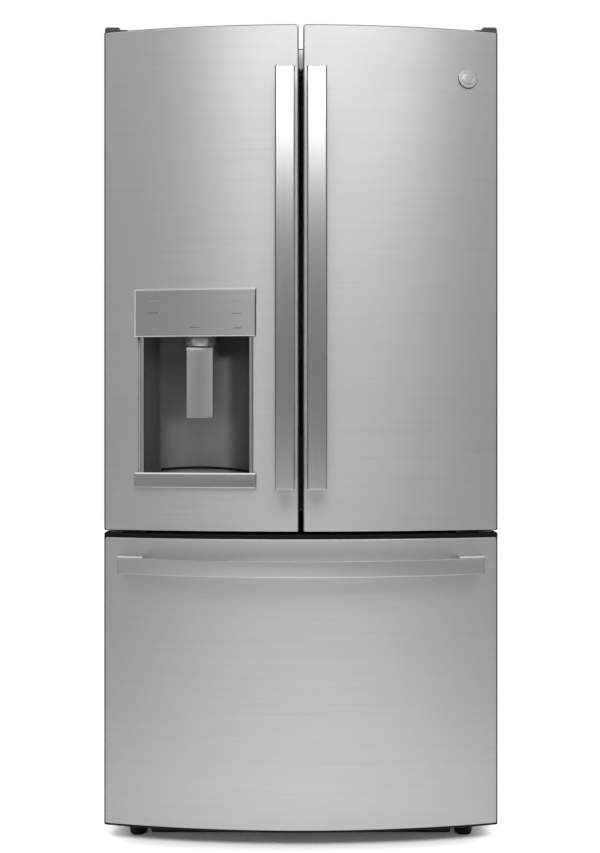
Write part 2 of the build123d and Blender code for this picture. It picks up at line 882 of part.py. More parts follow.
def crisper_rack():
    """Frame between the deli drawer and the crispers that carries both crispers."""
    z = crisper_deck()
    x = cavity_half - fit
    y0, y1 = front + crisper_front + 4, cavity_rear - shelf_rear_gap
    rack = rounded(block(-x, x, y0, y1, z, z + rack_gauge), Axis.Z, 6)
    for x0 in (-x + 20, 10):
        rack -= block(x0, x0 + x - 30, y0 + 26, y1 - 20, z - 1, z + 3)
    return rack


def ceiling_light():
    lens = block(-120, 120, front + 240, front + 330, fresh_top - 14, fresh_top)
    lens = fillet(lens.edges().filter_by(Axis.Z), 20)
    return chamfer(lens.edges().group_by(Axis.Z)[0], 6)


def mullion_guide():
    """Block on the ceiling that turns the mullion, with its curved slot."""
    y1 = front + 8 + guide_depth
    guide = rounded(block(-30, 44, y1 - guide_depth, y1, fresh_top - guide_height, fresh_top), Axis.Z, 5)
    inner, outer = guide_arc
    depth = guide_height + 2
    slot = Pos(-4, y1, fresh_top - depth) * (Cylinder(outer, depth) - Cylinder(inner, depth))
    return guide - slot


# Drawer slides
def slide_rail(x_out, play, gauge, length, y0):
    """One C-section of the right-hand telescopic slide, open to the middle of the cabinet."""
    low, high = slide_low + play, slide_high - play
    x_in = x_out - slide_width + play
    rail = block(x_in, x_out, y0, y0 + length, low, high)
    return rail - block(x_in - 1, x_out - gauge, y0 - 1, y0 + length + 1, low + gauge, high - gauge)


def slide_outer():
    return pair(slide_rail(cavity_half, 0, slide_gauge, slide_length, front + slide_front))


def slide_middle():
    play = slide_gauge + slide_play
    return pair(slide_rail(cavity_half - play, play, slide_gauge, slide_length, front + slide_front))


def slide_inner():
    """Drawer members: channels that the basket hangs on, with a bracket at the drawer front."""
    low, high = slide_low + inner_play, slide_high - inner_play
    x0, x1 = inner_slide_x(), cavity_half - inner_play
    y0, y1 = drawer_inner_back(), front + slide_front + slide_length - 10
    bar = block(x0, x1, y0, y1, low, high)
    bar -= block(x0 - 1, x1 - slide_gauge, y0 + 50, y1 + 1, low + slide_gauge, high - slide_gauge)
    tab = rounded(block(x0 - tab_reach, x1, y0, y0 + 4, low - tab_reach, high + 60), Axis.Y, 6)
    return pair(bar + tab)


def inner_slide_x():
    """Inner face of the right-hand drawer member, proud of the fixed rail so the basket can hang on it."""
    return cavity_half - slide_width - slide_ledge


def drawer_inner_back():
    """y of the drawer front's inner face."""
    return door_back + drawer_rise


def lower_basket():
    """Deep drawer basket that hangs on the slides by its rim."""
    x, lip = inner_slide_x() - 2, cavity_half - slide_width - 1
    y0, y1 = drawer_inner_back() + basket_end_gap, machine_front - machine_wall - 14
    low, seat = freezer_floor + basket_floor_gap, slide_high - inner_play + fit
    basket = hung_basket(x, lip, y0, y1, low, seat)
    return basket - slot_rows(-x + 70, x - 70, 10, y0 - 5, y1 + 5, low + 46, seat - 40)


def hung_basket(x, lip, y0, y1, low, seat):
    """Tub whose rim reaches over a pair of runners."""
    tub = open_tub(-x, x, y0, y1, low, seat + bin_wall, bin_wall, 1.5, basket_corner)
    rim_plate = block(-lip, lip, y0, y1, seat, seat + bin_wall)
    rim_plate = rounded(rim_plate, Axis.Z, 4)
    mouth = block(-x + bin_wall, x - bin_wall, y0 + bin_wall, y1 - bin_wall, seat - 1, seat + bin_wall + 1)
    return tub + (rim_plate - rounded(mouth, Axis.Z, basket_corner - bin_wall))


def upper_basket():
    """Shallow sliding basket on the liner's runners."""
    x = cavity_half - runner_width - 2
    y0, y1 = front + upper_basket_front, front + upper_basket_back
    low, seat = slide_high + upper_basket_gap, runner_z() + fit
    basket = hung_basket(x, cavity_half - 1.5, y0, y1, low, seat)
    return basket - slot_rows(-x + 60, x - 60, 12, y0 - 5, y1 + 5, low + 26, seat - 30)


def slot_rows(x0, x1, count, y0, y1, z0, z1):
    """Upright slots through the front and rear walls of a basket."""
    pitch, side = (x1 - x0) / (count - 1), basket_slot / 2
    places = [x0 + i * pitch for i in range(count)]
    return Compound([block(x - side, x + side, y0, y1, z0, z1) for x in places])


# ---------------------------------------------------------------- doors and drawer front
def front_body(x0, x1, z0, z1, inset, back):
    """Solid outline of a door: bowed front, round vertical edges, soft top and bottom edges."""
    shape = bow_block(x0 + inset, x1 - inset, z0 + inset, z1 - inset, inset, back, edge_radius - inset)
    ends = shape.faces().filter_by(Axis.Z)
    hems = ShapeList([e for face in ends for e in face.edges().sort_by(Axis.Y)[:-1]])
    return fillet(hems, hem_radius - inset)


def front_skin(x0, x1, z0, z1):
    """Stainless sheet: front, side returns and a narrow hem at top and bottom."""
    skin = front_body(x0, x1, z0, z1, 0, door_back) - front_body(x0, x1, z0, z1, sheet, door_back + 5)
    ends = bow_block(x0 + sheet, x1 - sheet, z0 - 1, z1 + 1, hem_depth, door_back + 1)
    return skin - ends


def end_caps(x0, x1, z0, z1, bore_x=None):
    """Moulded caps that close the door at top and bottom, bored for the hinge pins."""
    caps = []
    for low, high in ((z1 - cap_height, z1 - cap_inset), (z0 + cap_inset, z0 + cap_height)):
        cap = bow_block(x0 + sheet, x1 - sheet, low, high, hem_depth + fit, door_back)
        if bore_x is not None:
            cap -= rod(bore_x, pivot_y, low - 1, high + 1, pin_radius + pin_clearance)
        caps.append(cap)
    return Compound(caps)


def front_core(x0, x1, z0, z1):
    """Foamed body behind the skin, between the end caps."""
    low, high = z0 + cap_height, z1 - cap_height
    return bow_block(x0 + sheet, x1 - sheet, low, high, sheet + core_gap, door_back, edge_radius)


def dyke(x0, x1, z0, z1, height):
    """Raised ring of the inner panel that carries the bins."""
    ring = block(x0, x1, door_back, door_back + height, z0, z1)
    ring = rounded(ring, Axis.Y, dyke_corner)
    w, top = dyke_width, door_back + height
    hollow = block(x0 + w, x1 - w, door_back, top + 1, z0 + w, z1 - w)
    hollow = rounded(hollow, Axis.Y, dyke_inner_corner)
    ring = fillet(ring.edges().group_by(Axis.Y)[-1], dyke_crest)
    return ring - hollow


def pin_wells(x, z0, z1):
    """Room round both hinge pins inside the foam."""
    wide = pin_radius + well_play
    lower = rod(x, pivot_y, z0 - 1, z0 + well_depth, wide)
    return lower + rod(x, pivot_y, z1 - well_depth, z1 + 1, wide)


def door_seal(x0, x1, z0, z1):
    """Magnetic gasket ring with a grooved face."""
    back = front - gasket_clearance
    ring = rounded(block(x0, x1, door_back, back, z0, z1), Axis.Y, gasket_corner)
    w, r = gasket_width, gasket_inner_corner
    ring -= rounded(block(x0 + w, x1 - w, door_back - 1, back + 1, z0 + w, z1 - w), Axis.Y, r)
    y0, y1, d = door_back + groove_low, door_back + groove_high, groove_outer
    groove = block(x0 - 1, x1 + 1, y0, y1, z0 - 1, z1 + 1)
    groove -= rounded(block(x0 + d, x1 - d, door_back, back, z0 + d, z1 - d), Axis.Y, r)
    return ring - groove


# Upper doors, drawn on the right and mirrored
right_span = (door_gap / 2, half)
left_span = (-half, -door_gap / 2)
dyke_low = door_bottom + dyke_low_margin
dyke_high = door_top - dyke_high_margin
dyke_x = (mullion_width / 2 + mullion_room, half - dyke_outer)


def upper_gasket():
    """Right door's gasket, with the lip that closes the slit between the doors."""
    z0, z1 = door_bottom + gasket_end_inset, door_top - gasket_end_inset - gasket_drop
    ring = door_seal(door_gap / 2 + 2, half - gasket_inset, z0, z1)
    lip = block(lip_reach, door_gap / 2 + 3, door_back + 1, door_back + 3.5, fresh_floor + 4, fresh_top)
    return ring + lip


def right_door_inner():
    """White inner panel and its foam, with the dyke that holds the bins."""
    body = front_core(*right_span, door_bottom, door_top)
    body += dyke(*dyke_x, dyke_low, dyke_high, dyke_height)
    return body - pin_wells(pivot_x, door_bottom, door_top)


def left_door_inner():
    """Inner panel of the left door: its dyke is filled behind the dispenser and the ice box."""
    body = mirrored(front_core(*right_span, door_bottom, door_top))
    body += mirrored(dyke(*dyke_x, dyke_low, dyke_high, dyke_height))
    x0, x1 = -dyke_x[1] + 4, -dyke_x[0] - 4
    body += block(x0, x1, door_back - 1, liner_top_y, disp_low - 20, dyke_high - 8)
    body -= dispenser_hollow(disp_wall + fit) + dispenser_cutout(panel_depth + fit)
    for z in knuckle_levels():
        for ear in (z - knuckle_length / 2 - ear_gauge - 1, z + knuckle_length / 2 + 1):
            body += mullion_ear(ear, ear + ear_gauge)
        reach_out = knuckle_length / 2 + 2
        body += rod(mullion_pivot_x, mullion_pivot_y, z - reach_out, z + reach_out, mullion_pin)
    return body - pin_wells(-pivot_x, door_bottom, door_top)


def mullion_ear(z0, z1):
    """Ear on the dyke that holds the mullion's pin."""
    x, y, r = mullion_pivot_x, mullion_pivot_y, knuckle_radius
    return block(-dyke_x[0] - 5, x, y - r, y + r, z0, z1) + rod(x, y, z0, z1, r)


def knuckle_levels():
    span = mullion_high - mullion_low
    return (mullion_low + 0.12 * span, mullion_low + 0.5 * span, mullion_low + 0.88 * span)


def mullion():
    """Folding bar that both upper gaskets seal on, drawn folded back into the cabinet."""
    x, y = mullion_pivot_x, mullion_pivot_y
    y0, side = y + mullion_offset, mullion_depth / 2
    bar = block(x - side, x + side, y0, y0 + mullion_width, mullion_low, mullion_high)
    bar = rounded(bar, Axis.Z, 3)
    for z in knuckle_levels():
        low, high = z - knuckle_length / 2, z + knuckle_length / 2
        bar -= block(x - 30, x + 30, y0 - 1, y0 + 2, low - knuckle_room, high + knuckle_room)
        bar += rod(x, y, low, high, knuckle_radius)
        bar += block(x - 4, x + 4, y, y0 + 5, low, high)
        bar -= rod(x, y, low - 1, high + 1, mullion_pin + running)
    return bar


def bin_tub(x0, x1, y0, y1, z0, height):
    """Door bin: tub with a raised front rail."""
    tub = open_tub(x0, x1, y0, y1, z0, z0 + height, bin_wall, 2, bin_corner)
    top = z0 + height + 4
    rail = block(x0 + 8, x1 - 8, y1 - bin_rail_depth, y1, top - bin_rail, top)
    return tub + rounded(rail, Axis.Y, 5)


def right_door_bins():
    x0, x1 = dyke_x[0] + dyke_width + fit, dyke_x[1] - dyke_width - fit
    room = dyke_high - dyke_low - 2 * dyke_width
    bins = []
    for i in range(bin_count):
        z = dyke_low + dyke_width + 10 + i * room / bin_count
        bins.append(bin_tub(x0, x1, door_back + fit, door_back + bin_depth, z, bin_height))
    return Compound(bins)


def left_door_bins():
    x0, x1 = -dyke_x[1] + 6, -dyke_x[0] - 6
    y0 = liner_top_y + fit
    y1 = y0 + ice_bin_depth
    levels = (disp_low - 10, disp_low + 190)
    return Compound([bin_tub(x0, x1, y0, y1, z, ice_bin_height) for z in levels])


def ice_box():
    """Insulated ice compartment on the left door: housing and latched cover."""
    x0, x1 = -dyke_x[1] + 10, -dyke_x[0] - 24
    y0, y1 = liner_top_y + fit, liner_top_y + ice_depth
    z0, z1, w = disp_top + 10, dyke_high - 16, ice_wall
    housing = rounded(block(x0, x1, y0, y1, z0, z1), Axis.Y, 10)
    housing -= rounded(block(x0 + w, x1 - w, y0 + w, y1 + 1, z0 + w, z1 - w), Axis.Y, 6)
    cover = rounded(block(x0, x1, y1 + fit, y1 + ice_cover, z0, z1), Axis.Y, 10)
    cover = fillet(cover.edges().group_by(Axis.Y)[-1], 4)
    y2 = y1 + ice_cover
    latch = rounded(block(x1 - 34, x1 - 14, y2 - 2, y2 + 8, z0 + 190, z0 + 250), Axis.Y, 4)
    return Compound([housing, cover + latch])


# Dispenser
def recess_plan(grow):
    """Plan of the recess: straight cheeks and a round back."""
    side = disp_opening / 2 + grow
    mouth = bow_y(disp_x)
    cheek = mouth + disp_side_depth
    deepest = mouth + disp_depth + grow
    x0, x1, y0 = disp_x - side, disp_x + side, mouth - 40
    outline = Polyline((x1, cheek), (x1, y0), (x0, y0), (x0, cheek))
    return make_face(outline + ThreePointArc((x0, cheek), (disp_x, deepest), (x1, cheek)))


def dispenser_hollow(grow):
    """The recess as a solid, grown outwards for the housing's wall."""
    z0, z1 = disp_floor - grow, disp_ceiling + grow
    return Pos(0, 0, z0) * extrude(recess_plan(grow), z1 - z0)


def dispenser_cutout(depth):
    """Rectangle sunk behind the whole dispenser, to some depth under the skin's face."""
    side = disp_width / 2 - disp_lap
    return bow_plate(disp_x - side, disp_x + side, disp_low + disp_lap, disp_top - disp_lap, 5, depth)


def left_door_skin():
    return front_skin(*left_span, door_bottom, door_top) - dispenser_cutout(sheet + 1)


def before_bow(depth):
    """Everything in front of a surface that lies some depth behind the door's face."""
    return bow_plate(-half, 0, 0, door_top, 80, depth)


def dispenser_housing():
    """Moulded recess with a round back and a flat ceiling and floor."""
    return dispenser_hollow(disp_wall) - dispenser_hollow(0) - before_bow(bezel_depth + fit)


def bow_plate(x0, x1, z0, z1, proud, depth):
    """Plate that follows the door's bow, from proud of the skin to some depth behind it."""
    middle = (x0 + x1) / 2
    front_arc = [(x, bow_y(x, -proud)) for x in (x0, middle, x1)]
    back_arc = [(x, bow_y(x, depth)) for x in (x1, middle, x0)]
    outline = (
        ThreePointArc(*front_arc)
        + Line(front_arc[-1], back_arc[0])
        + ThreePointArc(*back_arc)
        + Line(back_arc[-1], front_arc[0])
    )
    return Pos(0, 0, z0) * extrude(make_face(outline), z1 - z0)


def bowed_face(plate):
    """Front face of a bowed plate."""
    return plate.faces().filter_by(GeomType.CYLINDER).sort_by(Axis.Y)[0]


def dispenser_panel():
    """Control fascia over the recess."""
    x0, x1 = disp_x - disp_width / 2, disp_x + disp_width / 2
    face = bow_plate(x0, x1, disp_head, disp_top, panel_proud, -fit)
    face = chamfer(bowed_face(face).edges().filter_by(GeomType.CIRCLE), panel_bevel)
    face = chamfer(bowed_face(face).edges().filter_by(Axis.Z), panel_bevel)
    side = disp_width / 2 - disp_lap - 1
    low = disp_ceiling + disp_wall + fit
    return face + bow_plate(disp_x - side, disp_x + side, low, disp_top - disp_lap - 1, 1, panel_depth)


def dispenser_bezel():
    """Side strips and sill that frame the recess."""
    side = disp_opening / 2
    x0, x1 = disp_x - side - trim, disp_x + side + trim
    strips = bow_plate(x0, x1, disp_sill - tray_gap, disp_head - fit, strip_proud, bezel_depth)
    strips -= block(disp_x - side, disp_x + side, bow_front - 5, door_back, disp_sill - 10, disp_head + 10)
    sill_side = disp_width / 2
    sill = bow_plate(disp_x - sill_side, disp_x + sill_side, disp_low, disp_sill, sill_proud, -fit)
    sill = fillet(bowed_face(sill).edges(), sill_round)
    lap = disp_lap + 1
    low, high = disp_low + lap, disp_sill - 1
    inner = bow_plate(disp_x - sill_side + lap, disp_x + sill_side - lap, low, high, 1, bezel_depth)
    return strips + sill + inner


def dispenser_chute():
    """Round nozzle under the ceiling, with the two ears that carry the paddle."""
    y = chute_y()
    ceiling = disp_ceiling
    z0 = paddle_high + chute_gap
    collar = rod(chute_x, y, z0, ceiling, collar_radius)
    collar -= rod(chute_x, y, z0 - 1, ceiling - chute_roof, collar_radius - chute_wall)
    collar += rod(chute_x, y - 8, z0 - 4, ceiling - 3, 4)
    for side in (-1, 1):
        x0 = chute_x + side * (paddle_radius + ear_gap)
        x1 = x0 + side * ear_width
        ear = block(x0, x1, y - 2, y + 14, paddle_pivot_z - ear_drop, ceiling)
        bore = paddle_pin + running
        collar += ear - cross_rod(x0 - 9, x0 + 9, y + paddle_pivot_back, paddle_pivot_z, bore)
    side = paddle_radius + 9
    deep = collar_radius + 1
    return collar + block(chute_x - side, chute_x + side, y - deep, y + deep, ceiling - 3, ceiling)


def chute_y():
    """y of the nozzle's centre."""
    return bow_y(disp_x) + chute_depth


def dispenser_paddle():
    """Half-round paddle hung on two trunnions, pushed back by a glass."""
    y = chute_y()
    tube = rod(chute_x, y, paddle_low, paddle_high, paddle_radius)
    tube -= rod(chute_x, y, paddle_low - 1, paddle_high - paddle_roof, paddle_radius - paddle_wall)
    side, cut = paddle_radius + 5, y + paddle_cut
    tube -= block(chute_x - side, chute_x + side, cut, cut + side, paddle_low - 1, paddle_high + 1)
    tube = fillet(tube.edges().filter_by(GeomType.CIRCLE).sort_by(Axis.Z)[:1], 1)
    trunnion_y = y + paddle_pivot_back
    reach_out = paddle_radius + ear_gap + ear_width + 1
    bar = cross_rod(chute_x - reach_out, chute_x + reach_out, trunnion_y, paddle_pivot_z, paddle_pin)
    inner = paddle_radius - paddle_wall - 1
    bar -= cross_rod(chute_x - inner, chute_x + inner, trunnion_y, paddle_pivot_z, paddle_pin + 1)
    return tube + bar


def drip_tray():
    """Slotted tray that lies on the recess floor."""
    z0 = disp_floor
    top = disp_sill - tray_gap
    tray = Pos(0, 0, z0) * extrude(recess_plan(-fit), top - z0)
    tray -= before_bow(bezel_depth + fit)
    dish = Pos(0, 0, top - tray_dish) * extrude(recess_plan(-5), 10)
    tray -= dish - before_bow(bezel_depth + 6)
    y, side = bow_y(disp_x), tray_slot / 2
    for i in range(tray_slots):
        x = disp_x + (i - (tray_slots - 1) / 2) * tray_pitch
        slot = block(x - side, x + side, y + 26, y + 72, z0 - 1, top + 1)
        tray -= rounded(slot, Axis.Z, side - 0.1)
    return tray


# Handles
def door_handle():
    """Right door's bar handle: a gently bowed flat bar on two end posts."""
    middle = (handle_high + handle_low) / 2
    sag, back, y = handle_sag, handle_depth, handle_front
    bar_profile = make_face(
        ThreePointArc((y + sag, handle_low), (y, middle), (y + sag, handle_high))
        + Line((y + sag, handle_high), (y + sag + back, handle_high))
        + ThreePointArc((y + sag + back, handle_high), (y + back, middle), (y + sag + back, handle_low))
        + Line((y + sag + back, handle_low), (y + sag, handle_low))
    )
    bar = extrude(Plane.YZ * bar_profile, handle_width / 2, both=True)
    bar = chamfer(bowed_face(bar).edges().filter_by(GeomType.CIRCLE), handle_chamfer)
    bar = chamfer(bowed_face(bar).edges().filter_by(Axis.X), handle_chamfer)
    bar = Pos(handle_offset, 0, 0) * bar
    side = handle_width / 2 - post_inset
    x0, x1 = handle_offset - side, handle_offset + side
    for z0, z1 in ((handle_low, handle_low + post_length), (handle_high - post_length, handle_high)):
        post = block(x0, x1, y + sag + back - 4, bow_front + post_root, z0, z1)
        bar += rounded(post, Axis.Y, post_round)
        y_hole = bow_y(x1) - set_screw_gap
        bar -= cross_rod(x1 - set_screw_depth, x1 + 1, y_hole, (z0 + z1) / 2, set_screw)
    return bar - bow_block(0, half, 0, door_top, -fit, door_back)


def drawer_handle():
    """Bowed flat bar across the drawer front on two end posts."""
    side = bar_span / 2
    radius = (side**2 + bar_sag**2) / (2 * bar_sag)
    y = handle_front

    def arc(shift, reverse=False):
        ends = [(-side, y + bar_sag + shift), (0, y + shift), (side, y + bar_sag + shift)]
        return ThreePointArc(*(ends[::-1] if reverse else ends))

    ends, t = y + bar_sag, bar_depth
    plan = make_face(
        arc(0) + Line((side, ends), (side, ends + t)) + arc(t, True) + Line((-side, ends + t), (-side, ends))
    )
    low = bar_centre_z - bar_height / 2
    bar = Pos(0, 0, low) * extrude(plan, bar_height)
    bar = chamfer(bar.edges().filter_by(GeomType.CIRCLE).sort_by(Axis.Y)[:2], bar_chamfer)
    for x0, x1 in ((-side, -side + bar_post), (side - bar_post, side)):
        y0, y1 = ends + bar_depth / 2, bow_y(side) + post_root
        foot = low + bar_post_drop
        bar += block(x0, x1, y0, y1, foot, low + bar_height)
        y_hole = bow_y(side) - set_screw_gap
        bar -= rod((x0 + x1) / 2, y_hole, foot - 1, foot + set_screw_depth, set_screw)
    return bar - bow_block(-half, half, drawer_bottom, drawer_top, -fit, door_back)


# Drawer front
drawer_span = (-half, half)


def drawer_inner():
    """Drawer front's foamed body and white inner panel with its low dyke."""
    body = front_core(*drawer_span, drawer_bottom, drawer_top)
    raised = drawer_inner_back() - door_back
    x = cavity_half - 8
    pad = block(-x, x, door_back - 1, drawer_inner_back(), freezer_floor + 8, freezer_top - 14)
    pad = rounded(pad, Axis.Y, 14)
    return body + fillet(pad.edges().group_by(Axis.Y)[-1], min(5, raised / 2))


def drawer_gasket():
    x = half - gasket_inset
    low = drawer_bottom + gasket_end_inset + gasket_drop
    return door_seal(-x, x, low, drawer_top - gasket_end_inset)


# ---------------------------------------------------------------- nodes
nodes = {
    "outer_case": outer_case(),
    "rear_panel": rear_panel(),
    "cabinet_foam": cabinet_foam(),
    "fresh_food_liner": fresh_food_liner(),
    "freezer_liner": freezer_liner(),
    "top_hinges": pair(top_hinge()),
    "hinge_covers": pair(hinge_cover()),
    "middle_hinges": pair(middle_hinge()),
    "base_frame": base_frame(),
    "toe_grille": toe_grille(),
    "machine_cover": machine_cover(),
    "cord_gland": cord_gland(),
    "water_valve": water_valve(),
    "compressor": compressor(),
    "condenser": condenser(),
    "condenser_fan": condenser_fan(),
    "drain_pan": drain_pan(),
    "air_duct": air_duct(),
    "evaporator_cover": evaporator_cover(),
    "shelf_frames": shelf_frames(),
    "glass_shelves": glass_shelves(),
    "crisper_rack": crisper_rack(),
    "crisper_drawers": crisper_drawers(),
    "deli_drawer": deli_drawer(),
    "ceiling_light": ceiling_light(),
    "mullion_guide": mullion_guide(),
    "slide_outer_rails": slide_outer(),
    "slide_middle_rails": slide_middle(),
    "slide_inner_rails": slide_inner(),
    "lower_basket": lower_basket(),
    "upper_basket": upper_basket(),
    "leveling_leg_left": leveling_leg(-leg_x),
    "leveling_leg_right": leveling_leg(leg_x),
    "roller_left": roller(-roller_x),
    "roller_right": roller(roller_x),
    "left_door_skin": left_door_skin(),
    "left_door_inner": left_door_inner(),
    "left_door_caps": end_caps(*left_span, door_bottom, door_top, -pivot_x),
    "left_door_gasket": mirrored(upper_gasket()),
    "left_door_bins": left_door_bins(),
    "left_handle": mirrored(door_handle()),
    "ice_box": ice_box(),
    "dispenser_housing": dispenser_housing(),
    "dispenser_panel": dispenser_panel(),
    "dispenser_bezel": dispenser_bezel(),
    "dispenser_chute": dispenser_chute(),
    "dispenser_paddle": dispenser_paddle(),
    "drip_tray": drip_tray(),
    "mullion": mullion(),
    "right_door_skin": front_skin(*right_span, door_bottom, door_top),
    "right_door_inner": right_door_inner(),
    "right_door_caps": end_caps(*right_span, door_bottom, door_top, pivot_x),
    "right_door_gasket": upper_gasket(),
    "right_door_bins": right_door_bins(),
    "right_handle": door_handle(),
    "drawer_skin": front_skin(*drawer_span, drawer_bottom, drawer_top),
    "drawer_inner": drawer_inner(),
    "drawer_caps": end_caps(*drawer_span, drawer_bottom, drawer_top),
    "drawer_gasket": drawer_gasket(),
    "drawer_handle": drawer_handle(),
}

os.makedirs("parts", exist_ok=True)
for name, shape in nodes.items():
    export_step(shape, f"parts/{name}.step")
print(len(nodes), "nodes")
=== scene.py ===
import json
import math

import bmesh
import bpy
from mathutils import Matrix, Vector

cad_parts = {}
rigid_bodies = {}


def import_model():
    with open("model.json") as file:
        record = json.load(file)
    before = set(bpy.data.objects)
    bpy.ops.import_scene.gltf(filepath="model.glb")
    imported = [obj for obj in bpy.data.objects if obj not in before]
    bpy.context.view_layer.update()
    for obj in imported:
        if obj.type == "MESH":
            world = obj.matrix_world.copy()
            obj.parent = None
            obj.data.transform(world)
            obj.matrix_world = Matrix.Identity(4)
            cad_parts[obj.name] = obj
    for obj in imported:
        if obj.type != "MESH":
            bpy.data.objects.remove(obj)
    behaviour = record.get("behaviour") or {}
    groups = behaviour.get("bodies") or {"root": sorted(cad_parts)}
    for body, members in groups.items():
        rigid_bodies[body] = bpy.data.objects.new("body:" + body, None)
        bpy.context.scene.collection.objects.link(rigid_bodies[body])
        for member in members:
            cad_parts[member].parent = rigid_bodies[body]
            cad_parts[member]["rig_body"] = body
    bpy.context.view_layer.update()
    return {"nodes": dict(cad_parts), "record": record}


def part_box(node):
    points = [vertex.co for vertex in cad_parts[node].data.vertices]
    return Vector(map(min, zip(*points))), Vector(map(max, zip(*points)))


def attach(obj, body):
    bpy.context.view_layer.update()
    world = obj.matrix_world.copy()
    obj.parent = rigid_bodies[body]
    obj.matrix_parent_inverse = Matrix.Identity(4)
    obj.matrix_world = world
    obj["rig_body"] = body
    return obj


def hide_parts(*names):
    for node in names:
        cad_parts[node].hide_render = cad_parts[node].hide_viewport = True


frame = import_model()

# French door refrigerator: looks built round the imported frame. Metres, +Z up, the doors face -Y.
bpy.ops.object.select_all(action="DESELECT")
print("frame loaded", len(frame["nodes"]), "nodes")


# small helpers for modelling by hand; adding a primitive leaves all else unselected
def choose(piece):
    bpy.ops.object.select_all(action="DESELECT")
    bpy.context.view_layer.objects.active = piece
    piece.select_set(True)


def startEditing(piece):
    choose(piece)
    bpy.ops.object.mode_set(mode="EDIT")


def stopEditing():
    bpy.ops.object.mode_set(mode="OBJECT")
    return bpy.context.object


def pick(kind, test):
    # selects the vertices, edges or faces that pass a test
    bpy.ops.mesh.select_mode(type=kind)
    bpy.ops.mesh.select_all(action="DESELECT")
    shape = bmesh.from_edit_mesh(bpy.context.edit_object.data)
    parts = {"VERT": shape.verts, "EDGE": shape.edges, "FACE": shape.faces}[kind]
    for part in parts:
        if test(part):
            part.select = True
    shape.select_flush_mode()
    bmesh.update_edit_mesh(bpy.context.edit_object.data)


def reshape(change):
    # lets a function move each vertex of the mesh that is being edited
    mesh = bpy.context.edit_object.data
    shape = bmesh.from_edit_mesh(mesh)
    for v in shape.verts:
        change(v)
    bmesh.update_edit_mesh(mesh)


def middle(edge):
    return (edge.verts[0].co + edge.verts[1].co) / 2


def along(edge, axis):
    # true for an edge that runs along an axis: 0, 1 or 2
    run = (edge.verts[1].co - edge.verts[0].co).normalized()
    return abs(run[axis]) > 0.999


def everything():
    bpy.ops.mesh.select_mode(type="VERT")
    bpy.ops.mesh.select_all(action="SELECT")


def unwrap():
    everything()
    bpy.ops.uv.cube_project(cube_size=1.0)


def startLine(name, points, closed=False):
    # a chain of vertices extruded from point to point
    bpy.ops.mesh.primitive_plane_add(size=0.01)
    bpy.context.object.name = name
    bpy.ops.object.mode_set(mode="EDIT")
    everything()
    bpy.ops.mesh.merge(type="CENTER")
    everything()
    bpy.ops.transform.translate(value=points[0])
    for here, there in zip(points, points[1:]):
        step = Vector(there) - Vector(here)
        bpy.ops.mesh.extrude_vertices_move(TRANSFORM_OT_translate={"value": step})
    if closed:
        ends = (Vector(points[0]), Vector(points[-1]))
        pick("VERT", lambda v: min((v.co - end).length for end in ends) < 1e-6)
        bpy.ops.mesh.edge_face_add()
    everything()


def turn(degrees, centre, axis="Z"):
    bpy.ops.transform.rotate(value=-math.radians(degrees), orient_axis=axis, center_override=centre)


def spinOn(degrees, centre, axis, steps):
    bpy.ops.mesh.spin(steps=steps, angle=-math.radians(degrees), center=centre, axis=axis)


def pull(offset):
    bpy.ops.mesh.extrude_region_move(TRANSFORM_OT_translate={"value": offset})


def cleanNormals(distance=0.00001):
    everything()
    bpy.ops.mesh.remove_doubles(threshold=distance)
    bpy.ops.mesh.normals_make_consistent(inside=False)


def facing(direction, place):
    # turns the whole shell round if its face nearest a place looks the wrong way
    shape = bmesh.from_edit_mesh(bpy.context.edit_object.data)
    near = min(shape.faces, key=lambda f: (f.calc_center_median() - Vector(place)).length)
    if near.normal.dot(Vector(direction)) < 0:
        everything()
        bpy.ops.mesh.flip_normals()


def settle(name):
    piece = bpy.context.object
    piece.name = name
    bpy.ops.object.transform_apply(location=True, rotation=True, scale=True)
    return piece


def addBox(name, low, high):
    low, high = Vector(low), Vector(high)
    bpy.ops.mesh.primitive_cube_add(size=1, location=(low + high) / 2, scale=high - low)
    return settle(name)


def addRod(name, centre, radius, length, axis="Z", sides=48):
    turned = {"X": (0, math.pi / 2, 0), "Y": (math.pi / 2, 0, 0), "Z": (0, 0, 0)}[axis]
    bpy.ops.mesh.primitive_cylinder_add(
        vertices=sides, radius=radius, depth=length, location=centre, rotation=turned
    )
    return settle(name)


def useModifier(piece, kind, **settings):
    choose(piece)
    modifier = piece.modifiers.new(kind.lower(), kind)
    for key, value in settings.items():
        setattr(modifier, key, value)
    bpy.ops.object.modifier_apply(modifier=modifier.name)


def softenEdges(piece, width, segments=2, angle=35):
    useModifier(
        piece, "BEVEL", width=width, segments=segments, limit_method="ANGLE",
        angle_limit=math.radians(angle), miter_outer="MITER_ARC", use_clamp_overlap=True,
    )


def thicken(piece, wall, offset=-1):
    useModifier(piece, "SOLIDIFY", thickness=wall, offset=offset)


def joinPieces(pieces, name):
    bpy.ops.object.select_all(action="DESELECT")
    for piece in pieces:
        piece.select_set(True)
    bpy.context.view_layer.objects.active = pieces[0]
    if len(pieces) > 1:
        bpy.ops.object.join()
    pieces[0].name = name
    return pieces[0]


def smoothBy(piece, angle):
    choose(piece)
    bpy.ops.object.shade_smooth_by_angle(angle=math.radians(angle))
    useModifier(piece, "WEIGHTED_NORMAL", keep_sharp=True)  # flat faces stay flat beside eased edges


def finishPiece(piece, body, material, replaced=(), angle=32):
    smoothBy(piece, angle)
    piece.data.materials.clear()
    piece.data.materials.append(material)
    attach(piece, body)
    if replaced:
        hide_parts(*replaced)
    return piece


